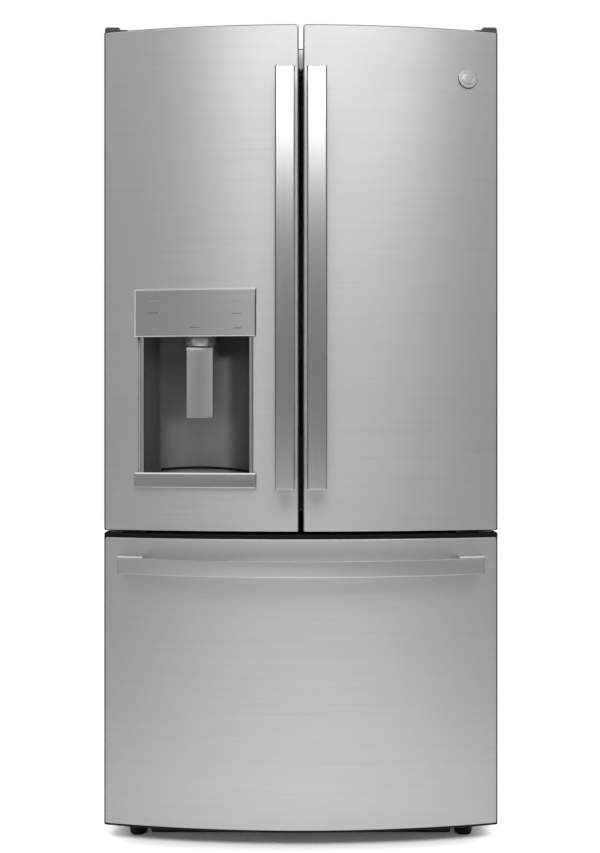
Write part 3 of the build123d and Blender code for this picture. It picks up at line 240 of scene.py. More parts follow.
# node helpers
def addNode(tree, kind, inputs=None, **settings):
    node = tree.nodes.new(kind)
    for key, value in settings.items():
        setattr(node, key, value)
    for key, value in (inputs or {}).items():
        if isinstance(value, bpy.types.NodeSocket):
            tree.links.new(value, node.inputs[key])
        else:
            node.inputs[key].default_value = value
    return node


def newGroup(name, inputs, outputs):
    group = bpy.data.node_groups.new(name, "ShaderNodeTree")
    for label, kind, value in inputs:
        socket = group.interface.new_socket(name=label, in_out="INPUT", socket_type=kind)
        if value is not None:
            socket.default_value = value
    for label, kind in outputs:
        group.interface.new_socket(name=label, in_out="OUTPUT", socket_type=kind)
    return group, group.nodes.new("NodeGroupInput"), group.nodes.new("NodeGroupOutput")


def maths(tree, operation, first, second):
    return addNode(tree, "ShaderNodeMath", {0: first, 1: second}, operation=operation).outputs[0]


def spread(tree, value, fromLow, fromHigh, toLow, toHigh):
    inputs = {"Value": value, "From Min": fromLow, "From Max": fromHigh, "To Min": toLow, "To Max": toHigh}
    return addNode(tree, "ShaderNodeMapRange", inputs).outputs["Result"]


def blendColours(tree, factor, first, second):
    return addNode(tree, "ShaderNodeMix", {0: factor, 6: first, 7: second}, data_type="RGBA").outputs[2]


def grey(level, tint=0.0):
    # a grey a little cool when tint is above nothing
    return (level, level, level * (1 + tint), 1)


# grain of brushed sheet: long fine streaks and a slow cloud, both from 0 to 1
brushGroup, groupIn, groupOut = newGroup(
    "brushedGrain",
    [("Vector", "NodeSocketVector", None), ("Streak Size", "NodeSocketVector", (6.0, 6.0, 700.0)),
     ("Band Size", "NodeSocketVector", (3.0, 3.0, 120.0))],
    [("Streak", "NodeSocketFloat"), ("Band", "NodeSocketFloat"), ("Cloud", "NodeSocketFloat")],
)
for label, size, detail in (("Streak", "Streak Size", 3.0), ("Band", "Band Size", 2.0)):
    scaled = addNode(
        brushGroup, "ShaderNodeVectorMath",
        {0: groupIn.outputs["Vector"], 1: groupIn.outputs[size]}, operation="MULTIPLY",
    )
    noise = addNode(
        brushGroup, "ShaderNodeTexNoise",
        {"Vector": scaled.outputs[0], "Scale": 1.0, "Detail": detail, "Roughness": 0.6},
    )
    brushGroup.links.new(spread(brushGroup, noise.outputs[0], 0.25, 0.75, 0, 1), groupOut.inputs[label])
cloud = addNode(
    brushGroup, "ShaderNodeTexNoise",
    {"Vector": groupIn.outputs["Vector"], "Scale": 5.0, "Detail": 3.0, "Roughness": 0.5},
)
brushGroup.links.new(spread(brushGroup, cloud.outputs[0], 0.3, 0.7, 0, 1), groupOut.inputs["Cloud"])

# skin of a moulding or a painted sheet: fine pebbles and slow unevenness
pebbleGroup, groupIn, groupOut = newGroup(
    "pebbledSkin",
    [("Vector", "NodeSocketVector", None), ("Pebble Scale", "NodeSocketFloat", 900.0),
     ("Cloud Scale", "NodeSocketFloat", 6.0)],
    [("Pebble", "NodeSocketFloat"), ("Cloud", "NodeSocketFloat")],
)
for label, size, detail in (("Pebble", "Pebble Scale", 2.0), ("Cloud", "Cloud Scale", 4.0)):
    noise = addNode(
        pebbleGroup, "ShaderNodeTexNoise",
        {"Vector": groupIn.outputs["Vector"], "Scale": groupIn.outputs[size], "Detail": detail},
    )
    pebbleGroup.links.new(spread(pebbleGroup, noise.outputs[0], 0.3, 0.7, 0, 1), groupOut.inputs[label])


def startMaterial(name):
    material = bpy.data.materials.new(name)
    material.use_nodes = True
    tree = material.node_tree
    shader = tree.nodes["Principled BSDF"]
    place = tree.nodes.new("ShaderNodeTexCoord").outputs["Object"]
    return material, tree, shader, place


def placeGroup(tree, group, inputs):
    return addNode(tree, "ShaderNodeGroup", inputs, node_tree=group)


def brushedMetal(name, dark, light, rough, streakSize=(6, 6, 700), bandSize=(3, 3, 120), relief=0.00006,
                 spreadUp=0.0, tint=0.01, banding=0.35):
    material, tree, shader, place = startMaterial(name)
    grain = placeGroup(tree, brushGroup, {"Vector": place, "Streak Size": streakSize, "Band Size": bandSize})
    mixed = maths(tree, "ADD", maths(tree, "MULTIPLY", grain.outputs["Streak"], 1 - banding),
                  maths(tree, "MULTIPLY", grain.outputs["Band"], banding))
    colour = blendColours(tree, mixed, grey(dark, tint), grey(light, tint))
    tree.links.new(colour, shader.inputs["Base Color"])
    roughness = spread(tree, maths(tree, "ADD", grain.outputs["Streak"], grain.outputs["Cloud"]), 0, 2, *rough)
    tree.links.new(roughness, shader.inputs["Roughness"])
    shader.inputs["Metallic"].default_value = 1.0
    bump = addNode(tree, "ShaderNodeBump", {"Height": grain.outputs["Streak"], "Strength": 0.35, "Distance": relief})
    tree.links.new(bump.outputs["Normal"], shader.inputs["Normal"])
    if spreadUp:
        shader.inputs["Anisotropic"].default_value = spreadUp
        shader.inputs["Anisotropic Rotation"].default_value = 0.25  # the spread runs across the grain
        tangent = addNode(tree, "ShaderNodeTangent", direction_type="UV_MAP")
        tree.links.new(tangent.outputs[0], shader.inputs["Tangent"])
    return material


def moulded(name, dark, light, rough, pebble=900, relief=0.00003, sheen=0.5, tint=(1, 1, 1)):
    material, tree, shader, place = startMaterial(name)
    skin = placeGroup(tree, pebbleGroup, {"Vector": place, "Pebble Scale": pebble})
    low = [dark * part for part in tint] + [1]
    high = [light * part for part in tint] + [1]
    both = maths(tree, "ADD", maths(tree, "MULTIPLY", skin.outputs["Cloud"], 0.6),
                 maths(tree, "MULTIPLY", skin.outputs["Pebble"], 0.4))
    tree.links.new(blendColours(tree, both, low, high), shader.inputs["Base Color"])
    tree.links.new(spread(tree, both, 0, 1, *rough), shader.inputs["Roughness"])
    bump = addNode(tree, "ShaderNodeBump", {"Height": skin.outputs["Pebble"], "Strength": 0.5, "Distance": relief})
    tree.links.new(bump.outputs["Normal"], shader.inputs["Normal"])
    shader.inputs["Specular IOR Level"].default_value = sheen
    return material


def clearMoulding(name, colour, edge, rough=(0.05, 0.14), through=0.92, index=1.49):
    # clear plastic or glass: deeper colour where it is seen edge on
    material, tree, shader, place = startMaterial(name)
    skin = placeGroup(tree, pebbleGroup, {"Vector": place, "Pebble Scale": 40.0})
    slant = addNode(tree, "ShaderNodeLayerWeight", {"Blend": 0.35}).outputs["Facing"]
    tree.links.new(blendColours(tree, slant, colour, edge), shader.inputs["Base Color"])
    tree.links.new(spread(tree, skin.outputs["Cloud"], 0, 1, *rough), shader.inputs["Roughness"])
    shader.inputs["Transmission Weight"].default_value = through
    shader.inputs["IOR"].default_value = index
    return material


stainless = brushedMetal("brushedStainless", 0.56, 0.63, (0.40, 0.48), spreadUp=0.7)
handleSteel = brushedMetal("handleStainless", 0.58, 0.61, (0.28, 0.30), streakSize=(130, 130, 6),
                           bandSize=(50, 50, 3), relief=0.000002, banding=0.25, tint=0.0)
barSteel = brushedMetal("drawerBarStainless", 0.63, 0.67, (0.30, 0.33), relief=0.000005, banding=0.25, tint=0.0)
fasciaSteel = brushedMetal("fasciaStainless", 0.42, 0.47, (0.36, 0.44), bandSize=(4, 4, 200), relief=0.00001,
                           banding=0.2, spreadUp=0.7, tint=0.0)
edgeSteel = brushedMetal("polishedEdge", 0.66, 0.72, (0.16, 0.22), streakSize=(300, 300, 300), relief=0.000004,
                         tint=0.0)
trimMetal = brushedMetal("trimSatin", 0.44, 0.50, (0.28, 0.36), streakSize=(300, 300, 300), relief=0.00001, tint=0.0)
paddleMetal = brushedMetal("paddleSatin", 0.56, 0.62, (0.30, 0.36), streakSize=(500, 500, 6), relief=0.000008, tint=0.0)
recessMetal = brushedMetal("recessDarkSatin", 0.31, 0.35, (0.38, 0.44), streakSize=(8, 8, 900), relief=0.00001,
                           tint=0.0)
badgeMetal = brushedMetal("badgeSatin", 0.64, 0.68, (0.26, 0.3), streakSize=(120, 120, 120), relief=0.000002, tint=0.0)
zincPlate = brushedMetal("zincPlate", 0.50, 0.60, (0.30, 0.42), streakSize=(120, 120, 120),
                         bandSize=(40, 40, 40), relief=0.00003, tint=0.0)
sheetZinc = brushedMetal("galvanisedSheet", 0.46, 0.60, (0.35, 0.5), streakSize=(60, 60, 60),
                         bandSize=(25, 25, 25), relief=0.00003, tint=0.02, banding=0.6)
coilMetal = brushedMetal("coilAluminium", 0.55, 0.66, (0.32, 0.45), streakSize=(200, 200, 20))
legendLight = moulded("legendLight", 0.25, 0.28, (0.3, 0.4), relief=0.00001)
legendDark = moulded("legendDark", 0.075, 0.090, (0.35, 0.45), relief=0.00001)
casePaint = moulded("casePaint", 0.060, 0.075, (0.42, 0.55), pebble=700, relief=0.00008, tint=(1, 1.01, 1.03))
darkPlastic = moulded("darkMoulding", 0.028, 0.036, (0.42, 0.55), pebble=1200)
blackPlastic = moulded("blackMoulding", 0.004, 0.007, (0.5, 0.65), pebble=1200, sheen=0.25)
rimBlack = moulded("rimSatinBlack", 0.003, 0.006, (0.5, 0.62), pebble=1400, relief=0.00002, sheen=0.12)
blackEnamel = moulded("blackEnamel", 0.010, 0.014, (0.12, 0.22), pebble=200, relief=0.00002)
whiteLiner = moulded("whiteLiner", 0.76, 0.80, (0.28, 0.36), pebble=300, relief=0.00002, tint=(0.99, 1, 1))
sealRubber = moulded("sealRubber", 0.014, 0.020, (0.6, 0.72), pebble=1500, relief=0.00002, sheen=0.3)
foamFill = moulded("foamFill", 0.55, 0.66, (0.8, 0.95), pebble=260, relief=0.0004, tint=(1, 0.9, 0.68))
nylonWheel = moulded("nylonWheel", 0.62, 0.7, (0.35, 0.45), pebble=500)
lampLens = moulded("lampLens", 0.85, 0.9, (0.2, 0.3), pebble=400)
clearPlastic = clearMoulding("clearMoulding", (0.93, 0.96, 0.97, 1), (0.80, 0.87, 0.90, 1))
shelfGlass = clearMoulding("shelfGlass", (0.92, 0.97, 0.95, 1), (0.55, 0.75, 0.68, 1), (0.01, 0.03), 1.0, 1.5)
print("materials made", len(bpy.data.materials))


def arcOf(half, sag):
    # radius of an arc and the angle from its middle to one end
    radius = (half**2 + sag**2) / (2 * sag)
    return radius, math.asin(half / radius)


# bowed fronts: one arc runs over both doors and the drawer
bow = {
    "half": 0.416,
    "sag": 0.042,
    "front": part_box("right_door_skin")[0].y,
    "back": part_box("right_door_skin")[1].y,
    "corner": 0.006,  # round of the outer upright edges
    "innerCorner": 0.004,  # round of the edges between the doors
    "reveal": 0.0013,  # how much nearer the doors' skins come to each other
    "wrap": 24,  # degrees that the skin turns round an outer corner
    "hem": 0.003,
    "hemDepth": 0.004,
    "sheet": 0.0009,
    "lipTop": 0.0015,  # dark lip that shows above the skin
    "clip": 0.005,  # round of the skin's outer corners
}
rim = {"set": 0.001, "hem": 0.003, "depth": 0.009, "doorDrop": 0.001, "drawerDrop": 0.0045, "bandRise": 0.0095}
bow["radius"] = arcOf(bow["half"], bow["sag"])[0]
bow["centre"] = bow["front"] + bow["radius"]


def bowY(x, inset=0.0):
    return bow["centre"] - math.sqrt((bow["radius"] - inset) ** 2 - x * x)


def bowAngle(x, inset=0.0):
    return math.degrees(math.asin(x / (bow["radius"] - inset)))


def insetOf(v):
    return bow["radius"] - math.hypot(v.co.x, v.co.y - bow["centre"])


def onRow(v, degrees):
    # true for a vertex on the row at this angle round the bow
    return abs(math.degrees(math.atan2(v.co.x, bow["centre"] - v.co.y)) - degrees) < 0.01


def hemLine(front, hem, depth, z0, z1):
    # side view of a sheet with its top and bottom turned back, as inset and height
    line = [(depth, z1)]
    if depth > bow["corner"]:
        line.append((bow["corner"], z1))
    for i in range(5):
        a = math.radians(90 * i / 4)
        line.append((front + hem - hem * math.sin(a), z1 - hem + hem * math.cos(a)))
    return line + [(inset, z0 + z1 - z) for inset, z in reversed(line)]


def cutWindow(cut):
    for plane, normal in [((x, 0, 0), (1, 0, 0)) for x in cut[:2]] + [((0, 0, z), (0, 0, 1)) for z in cut[2:]]:
        everything()
        bpy.ops.mesh.bisect(plane_co=plane, plane_no=normal)

    def inCut(f):
        c = f.calc_center_median()
        return cut[0] < c.x < cut[1] and cut[2] < c.z < cut[3]

    pick("FACE", inCut)
    bpy.ops.mesh.delete(type="FACE")


def clipCorner(x, z, outX, outZ, radius):
    # rounds a corner of the sheet, seen from the front, with three cuts
    centre = Vector((x - outX * radius, 0, z - outZ * radius))
    for degrees in (22.5, 45, 67.5):
        normal = Vector((outX * math.cos(math.radians(degrees)), 0, outZ * math.sin(math.radians(degrees))))
        everything()
        bpy.ops.mesh.bisect(plane_co=centre + normal * radius, plane_no=normal, clear_outer=True)


def bowedShell(name, x0, x1, line, steps, corners, cut=None, clips=()):
    # corners: for the low and the high end, the pivot's inset and the degrees it turns to
    startLine(name, [(0, bow["front"] + inset, z) for inset, z in line])
    (edge0, end0), (edge1, end1) = corners
    a0, a1 = bowAngle(x0 + edge0, edge0), bowAngle(x1 - edge1, edge1)
    centre = (0, bow["centre"], 0)
    turn(a0, centre)
    spinOn(a1 - a0, centre, (0, 0, 1), steps)
    for x, edge, side, angle, end in ((x1 - edge1, edge1, 1, a1, end1), (x0 + edge0, edge0, -1, a0, end0)):
        y = bowY(x, edge)

        def onEnd(v):
            # on this end's row, no deeper than the corner's middle
            return onRow(v, angle) and insetOf(v) < edge + 0.0001

        pick("VERT", onEnd)
        spinOn(side * (end - side * angle), (x, y, 0), (0, 0, 1), 6)
        if end == 90:
            pull((0, bow["back"] - y, 0))
    cleanNormals()
    top = max(z for inset, z in line)
    facing((0, -1, 0), ((x0 + x1) / 2, bow["front"], top - 0.1))
    if cut:
        cutWindow(cut)
    for clip in clips:
        clipCorner(*clip, bow["clip"])
    unwrap()
    piece = stopEditing()
    thicken(piece, bow["sheet"])
    return piece


def frontPair(name, body, node, ends, steps, drop, rise=0.0, cut=None):
    # the steel skin of a front and the dark rim round it; ends: -1 or 1 where that side is outer
    low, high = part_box(node)
    x0, x1 = low.x, high.x
    outer, inner = (bow["corner"], bow["wrap"]), (bow["innerCorner"], 90)
    skinEnds = [low.x if -1 in ends else low.x - bow["reveal"], high.x if 1 in ends else high.x + bow["reveal"]]
    skinLow, skinHigh = low.z, high.z - (0 if rise else bow["lipTop"])
    line = hemLine(0, bow["hem"], bow["hemDepth"], skinLow, skinHigh)
    clips = []
    for side in ends:
        x = side * (bow["half"] - bow["corner"] * (1 - math.sin(math.radians(bow["wrap"]))))
        clips += [(x, skinLow, side, -1), (x, skinHigh, side, 1)]
    corners = [outer if -1 in ends else inner, outer if 1 in ends else inner]
    skin = bowedShell(name + "Skin", *skinEnds, line, steps, corners, cut, clips)
    finishPiece(skin, body, stainless, [node])
    grow = rim["set"]
    rimEnds = [x0 - grow if -1 in ends else skinEnds[0] + 0.0001, x1 + grow if 1 in ends else skinEnds[1] - 0.0001]
    line = hemLine(grow, rim["hem"], rim["depth"], low.z - drop, high.z + rise)
    shell = bowedShell(name + "Rim", *rimEnds, line, steps, [(bow["corner"], 90)] * 2, cut)
    finishPiece(shell, body, rimBlack)


dispenser = {
    "x": -0.220, "halfWidth": 0.1275, "opening": 0.114, "lap": 0.006,
    "low": 0.769, "sill": 0.800, "head": 1.083, "top": 1.184,
    "proud": 0.006, "sillProud": 0.009,
    "depth": 0.104, "cheek": 0.024, "wall": 0.0022,
}
d = dispenser
cutOut = (d["x"] - d["halfWidth"] + d["lap"], d["x"] + d["halfWidth"] - d["lap"],
          d["low"] + d["lap"], d["top"] - d["lap"])
frontPair("leftDoor", "left_door", "left_door_skin", [-1], 40, rim["doorDrop"], cut=cutOut)
frontPair("rightDoor", "right_door", "right_door_skin", [1], 40, rim["doorDrop"])
frontPair("drawer", "freezer_drawer", "drawer_skin", [-1, 1], 80, rim["drawerDrop"], rim["bandRise"])
print("skins made")


# handles: a flat bar with eased front edges on two posts
def capEnds(test):
    # closes each open end of a swept section
    for side in (-1, 1):
        pick("EDGE", lambda e: e.is_boundary and test(middle(e)) * side > 0)
        bpy.ops.mesh.edge_face_add()


def easeFront(offset, segments):
    # eases the outline of the faces seen from the front
    pick("EDGE", lambda e: len([f for f in e.link_faces if f.normal.y < -0.9]) == 1)
    bpy.ops.mesh.bevel(offset=offset, segments=segments, affect="EDGES")


skinSet = 0.0003  # how far a fitting is set into the skin
doorHandle = {
    "width": 0.040, "depth": 0.016, "sag": 0.012, "ease": 0.0024, "hairEase": 0.0005, "round": 0.0035,
    "growTop": 0.004, "growLow": 0.0015,
    "post": 0.058, "postInset": 0.003, "postBite": 0.004, "postGap": 0.0006, "postRound": 0.003,
}


def makeDoorHandle(name, node):
    h = doorHandle
    low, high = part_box(node)
    z0, z1 = low.z - h["growLow"], high.z + h["growTop"]
    x, y, z = (low.x + high.x) / 2, low.y, (z0 + z1) / 2
    radius, swing = arcOf((z1 - z0) / 2, h["sag"])
    half = h["width"] / 2
    section = [(x - half, y, z), (x + half, y, z), (x + half, y + h["depth"], z), (x - half, y + h["depth"], z)]
    startLine(name, section, closed=True)
    centre = (x, y + radius, z)
    turn(-math.degrees(swing), centre, "X")
    spinOn(2 * math.degrees(swing), centre, (1, 0, 0), 36)
    cleanNormals()
    capEnds(lambda p: p.z - z)
    cleanNormals()
    pick("EDGE", lambda e: along(e, 1) and abs(middle(e).z - z) > (z1 - z0) / 2 - 0.002)
    bpy.ops.mesh.bevel(offset=h["round"], segments=3, affect="EDGES")
    easeFront(h["ease"], 1)
    bar = stopEditing()
    softenEdges(bar, h["hairEase"], 2, 25)
    posts = []
    inset = half - h["postInset"]

    def toSkin(v):
        if v.co.y > high.y - 0.001:
            v.co.y = bowY(v.co.x, skinSet)

    for postLow in (low.z, high.z - h["post"]):
        startEditing(addBox(
            name + "Post", (x - inset, y + h["sag"] + h["depth"] - h["postBite"], postLow + h["postGap"]),
            (x + inset, high.y, postLow + h["post"] - h["postGap"]),
        ))
        reshape(toSkin)
        pick("EDGE", lambda e: abs(e.verts[0].co.y - e.verts[1].co.y) > 0.01)
        bpy.ops.mesh.bevel(offset=h["postRound"], segments=3, affect="EDGES")
        posts.append(stopEditing())
    return joinPieces([bar] + posts, name)


for side in ("left", "right"):
    handle = makeDoorHandle(side + "DoorHandle", side + "_handle")
    finishPiece(handle, side + "_door", handleSteel, [side + "_handle"])

drawerHandle = {
    "depth": 0.013, "sag": 0.057, "ease": 0.0026, "rise": 0.0085,
    "post": 0.054, "postRise": 0.0025, "postGap": 0.002, "postSide": 0.0006, "slopeMore": 0.0008,
}


def makeDrawerHandle(name, node):
    h = drawerHandle
    low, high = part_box(node)
    lift = Vector((0, 0, h["rise"]))
    low, high = low + lift, high + lift
    half = (high.x - low.x) / 2
    radius, swing = arcOf(half, h["sag"])
    y0, y1 = low.y, low.y + h["depth"]
    startLine(name, [(0, y0, low.z), (0, y0, high.z), (0, y1, high.z), (0, y1, low.z)], closed=True)
    centre = (0, y0 + radius, 0)
    turn(-math.degrees(swing), centre)
    spinOn(2 * math.degrees(swing), centre, (0, 0, 1), 72)
    cleanNormals()
    capEnds(lambda p: p.x)
    cleanNormals()

    def onFront(e):
        flat = [f for f in e.link_faces if f.normal.y < -0.8]
        return len(flat) == 1 and middle(e).y < y0 + h["sag"] + 0.004

    pick("EDGE", onFront)
    bpy.ops.mesh.bevel(offset=h["ease"], segments=2, affect="EDGES")
    bar = stopEditing()
    posts = []

    def toSkinOrBar(v):
        if v.co.y > high.y - 0.001:
            v.co.y = bowY(v.co.x, skinSet)
        elif abs(v.co.x) < half - 0.01:
            v.co.y = y0 + radius - math.sqrt((radius - h["depth"] / 2) ** 2 - v.co.x**2)

    for side in (-1, 1):
        x0, x1 = sorted((side * (half - h["postSide"]), side * (half - h["post"])))
        post = addBox(name + "Post", (x0, y0 + h["sag"] + h["postGap"], low.z + h["postGap"]),
                      (x1, high.y, high.z + h["postRise"]))
        startEditing(post)
        reshape(toSkinOrBar)
        top = high.z + h["postRise"] - 0.0001
        frontEdge = min(v.co.y for v in bmesh.from_edit_mesh(post.data).verts) + 0.02
        pick("EDGE", lambda e: middle(e).z > top and middle(e).y < frontEdge and not along(e, 1))
        bpy.ops.mesh.bevel(offset=h["postRise"] + h["slopeMore"], segments=1, affect="EDGES")  # a slope on top
        posts.append(stopEditing())
    return joinPieces([bar] + posts, name)


drawerBar = makeDrawerHandle("drawerHandleBar", "drawer_handle")
finishPiece(drawerBar, "freezer_drawer", barSteel, ["drawer_handle"])
print("handles made")


# dispenser
def bowedProfile(name, section, x0, x1, steps, slopes):
    # a closed section, as inset and height, swept along the bow; slopes: run and fall at each end
    startLine(name, [(0, bow["front"] + inset, z) for inset, z in section], closed=True)
    centre = (0, bow["centre"], 0)
    turn(bowAngle(x0), centre)
    (run0, fall0), (run1, fall1) = slopes
    for a, b, count in ((x0, x0 + run0, 1), (x0 + run0, x1 - run1, steps), (x1 - run1, x1, 1)):
        if b > a:
            spinOn(bowAngle(b) - bowAngle(a), centre, (0, 0, 1), count)
    cleanNormals()
    centreX = (x0 + x1) / 2
    capEnds(lambda p: p.x - centreX)
    cleanNormals()
    back = max(inset for inset, z in section)
    for x, fall in ((x0, fall0), (x1, fall1)):
        def onFace(v):
            return onRow(v, bowAngle(x)) and insetOf(v) < back - fall - 0.0001

        if fall:
            pick("VERT", onFace)
            bpy.ops.transform.translate(value=(0, fall, 0))


def bowedPlate(name, x0, x1, z0, z1, proud, depth, steps=16):
    # a slab that follows the bow, from proud of the skin to some depth behind it
    section = [(-proud, z0), (-proud, z1), (depth, z1), (depth, z0)]
    bowedProfile(name, section, x0, x1, steps, ((0, 0), (0, 0)))


def partEdges(piece, name):
    # parts the sloping edges of a face from it, as a thin piece of their own
    startEditing(piece)
    leastSlope, mostSlope = 0.3, 0.97  # between the face itself and its upright sides
    pick("FACE", lambda f: any(leastSlope < abs(part) < mostSlope for part in (f.normal.x, f.normal.z)))
    bpy.ops.mesh.separate(type="SELECTED")
    stopEditing()
    edge = next(other for other in bpy.context.selected_objects if other != piece)
    edge.name = name
    startEditing(edge)
    cleanNormals()
    shape = bmesh.from_edit_mesh(edge.data)
    if sum(f.normal.y for f in shape.faces) > 0:
        everything()
        bpy.ops.mesh.flip_normals()
    stopEditing()
    thicken(edge, 0.0004)
    return edge


# left and right hold the run and the fall of that end's slope
fasciaEdge = {
    "top": 0.0050, "topFall": 0.0046, "low": 0.0020, "left": (0.0030, 0.0010), "right": (0.0024, 0.0030),
    "backRise": 0.0145, "backInset": 0.001, "backDepth": 0.016,
}
front, wall = -d["proud"], -skinSet
x0, x1 = d["x"] - d["halfWidth"], d["x"] + d["halfWidth"]
section = [(wall, d["head"]), (front + fasciaEdge["low"], d["head"]), (front, d["head"] + fasciaEdge["low"]),
           (front, d["top"] - fasciaEdge["top"]), (front + fasciaEdge["topFall"], d["top"]), (wall, d["top"])]
bowedProfile("dispenserFascia", section, x0, x1, 16, (fasciaEdge["left"], fasciaEdge["right"]))
fascia = stopEditing()
fasciaRim = partEdges(fascia, "dispenserFasciaEdge")
inset = fasciaEdge["backInset"]
bowedPlate("fasciaBack", cutOut[0] + inset, cutOut[1] - inset, d["head"] + fasciaEdge["backRise"],
           cutOut[3] - inset, -skinSet, fasciaEdge["backDepth"])
fascia = joinPieces([fascia, stopEditing()], "dispenserFascia")
startEditing(fascia)
unwrap()
stopEditing()
finishPiece(fascia, "left_door", fasciaSteel, ["dispenser_panel"])
finishPiece(fasciaRim, "left_door", edgeSteel)

# plain dashes for the controls: middle x, z, length
dashHalf, dashProud, dashSink, dashEase = 0.0008, 0.0004, 0.0006, 0.0002
dashes = {
    "dashLight": (legendLight, [(-0.1326, 1.1562, 0.0215), (-0.3062, 1.1570, 0.0200), (-0.3040, 1.1001, 0.0110)]),
    "dashDark": (legendDark, [(-0.1326, 1.1298, 0.0200), (-0.1309, 1.0996, 0.0160), (-0.2196, 1.1018, 0.0200),
                              (-0.3072, 1.1327, 0.0240)]),
}
for name, (material, places) in dashes.items():
    marks = []
    for x, z, length in places:
        bowedPlate(name, x - length / 2, x + length / 2, z - dashHalf, z + dashHalf,
                   d["proud"] + dashProud, -d["proud"] + dashSink, 3)
        easeFront(dashEase, 1)
        marks.append(stopEditing())
    finishPiece(joinPieces(marks, name), "left_door", material)

# bezel: a bright bead up each side of the opening and a sill with a slightly hollow face;
# beads: left and right edge, then the slopes of the two sides; each section holds insets and heights
bezel = {
    "beads": [(-0.3372, -0.3290, ((0.0026, 0.0016), (0.0030, 0.0019))),
              (-0.1066, -0.0990, ((0.0026, 0.0016), (0.0034, 0.0019)))],
    "beadProud": 0.0019, "beadBack": 0.006, "beadLow": d["sill"] - 0.002, "beadHigh": d["head"] - 0.0003,
    "hollow": 0.0004, "sillEnd": (0.0012, 0.002), "lipInset": 0.001, "lipDepth": 0.006,
}
bezelParts = []
for bead0, bead1, slopes in bezel["beads"]:
    section = [(-bezel["beadProud"], bezel["beadLow"]), (-bezel["beadProud"], bezel["beadHigh"]),
               (bezel["beadBack"], bezel["beadHigh"]), (bezel["beadBack"], bezel["beadLow"])]
    bowedProfile("bezelBead", section, bead0, bead1, 1, slopes)
    bezelParts.append(stopEditing())
proud, hollow = -d["sillProud"], bezel["hollow"]
section = [(wall, d["low"]), (proud + 0.0006, d["low"]), (proud, d["low"] + 0.0016),
           (proud + hollow, d["low"] + 0.013), (proud + hollow, d["low"] + 0.019),
           (proud, d["sill"] - 0.0030), (proud + 0.0024, d["sill"]), (wall, d["sill"])]
bowedProfile("bezelSill", section, x0, x1, 16, (bezel["sillEnd"], bezel["sillEnd"]))
sill = stopEditing()
sillEdge = partEdges(sill, "dispenserSillEdge")
finishPiece(sillEdge, "left_door", edgeSteel)
bezelParts.append(sill)
inset = bezel["lipInset"]
bowedPlate("bezelLip", cutOut[0] + inset, cutOut[1] - inset, cutOut[2] + inset, d["sill"] - inset,
           -skinSet, bezel["lipDepth"])
bezelParts.append(stopEditing())
surround = joinPieces(bezelParts, "dispenserBezel")
finishPiece(surround, "left_door", trimMetal, ["dispenser_bezel"])

# recess: a shell behind the opening; crease: where the slanted left cheek meets the round back
recess = {"crease": -0.3090, "clear": 0.0006, "mouth": 0.0065, "floorGap": 0.0025}
# the black strip that stands for the shadow gap at the tray's back edge: painted shadow
trayShadow = {"z": 0.7975, "set": 0.0006, "tall": 0.0052, "arch": 0.0062, "thick": 0.0022}


def recessLine(z, back=0.0, steps=40):
    # plan from the left mouth along a slanted cheek, then round the back to the right mouth
    side = d["opening"] - recess["clear"]
    mouth = bowY(d["x"])
    cheek, deepest = mouth + d["cheek"], mouth + d["depth"] - recess["clear"] - back
    rise = deepest - cheek
    radius, swing = arcOf(side, rise)
    points = [(d["x"] - side, bowY(d["x"] - side, recess["mouth"]), z)]
    for i in range(steps + 1):
        a = -swing + 2 * swing * i / steps
        if d["x"] + radius * math.sin(a) > recess["crease"]:
            points.append((d["x"] + radius * math.sin(a), deepest - radius + radius * math.cos(a), z))
    return points + [(d["x"] + side, bowY(d["x"] + side, recess["mouth"]), z)]


low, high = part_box("dispenser_housing")
floorZ, ceilingZ = low.z + recess["floorGap"], high.z - recess["floorGap"]
startLine("recessShell", recessLine(floorZ))
pull((0, 0, ceilingZ - floorZ))
for z in (floorZ, ceilingZ):
    pick("EDGE", lambda e: abs(middle(e).z - z) < 1e-5)
    bpy.ops.mesh.edge_face_add()
cleanNormals()
facing((0, -1, 0), (d["x"], bowY(d["x"]) + d["depth"], 0.95))
housing = stopEditing()
thicken(housing, d["wall"])
finishPiece(housing, "left_door", recessMetal, ["dispenser_housing"], 40)

# black strip standing for the shadow gap where the tray meets the round back (painted shadow), arched so that its
# middle stands highest
startLine("recessPaintedShadow", recessLine(trayShadow["z"], trayShadow["set"])[2:-2])
pull((0, 0, trayShadow["tall"]))
cleanNormals()


def archUp(v):
    v.co.z += trayShadow["arch"] * (1 - ((v.co.x - d["x"]) / d["opening"]) ** 2)


reshape(archUp)
facing((0, -1, 0), (d["x"], bowY(d["x"]) + d["depth"], 0.8))
trayShadowStrip = stopEditing()
thicken(trayShadowStrip, trayShadow["thick"], 1)
finishPiece(trayShadowStrip, "left_door", rimBlack)

# paddle: a shallow hollow plate with rolled sides, on a dark axle
paddle = {
    "low": 0.9135, "high": 1.0625, "half": 0.0272, "sag": 0.0050, "wall": 0.0024, "roll": 0.006, "ease": 0.0005,
    "rollStart": (0.0012, 0.0026), "axleBack": 0.014, "axleDrop": 0.008, "axleRadius": 0.0035, "axleEnd": 0.003,
    "armHalf": 0.014, "armFront": 0.0065, "armBack": 0.018, "armDrop": (0.022, 0.004), "armEase": 0.0012,
}
q = paddle
low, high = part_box("dispenser_paddle")
x, y = (low.x + high.x) / 2, low.y
radius, swing = arcOf(q["half"], q["sag"])
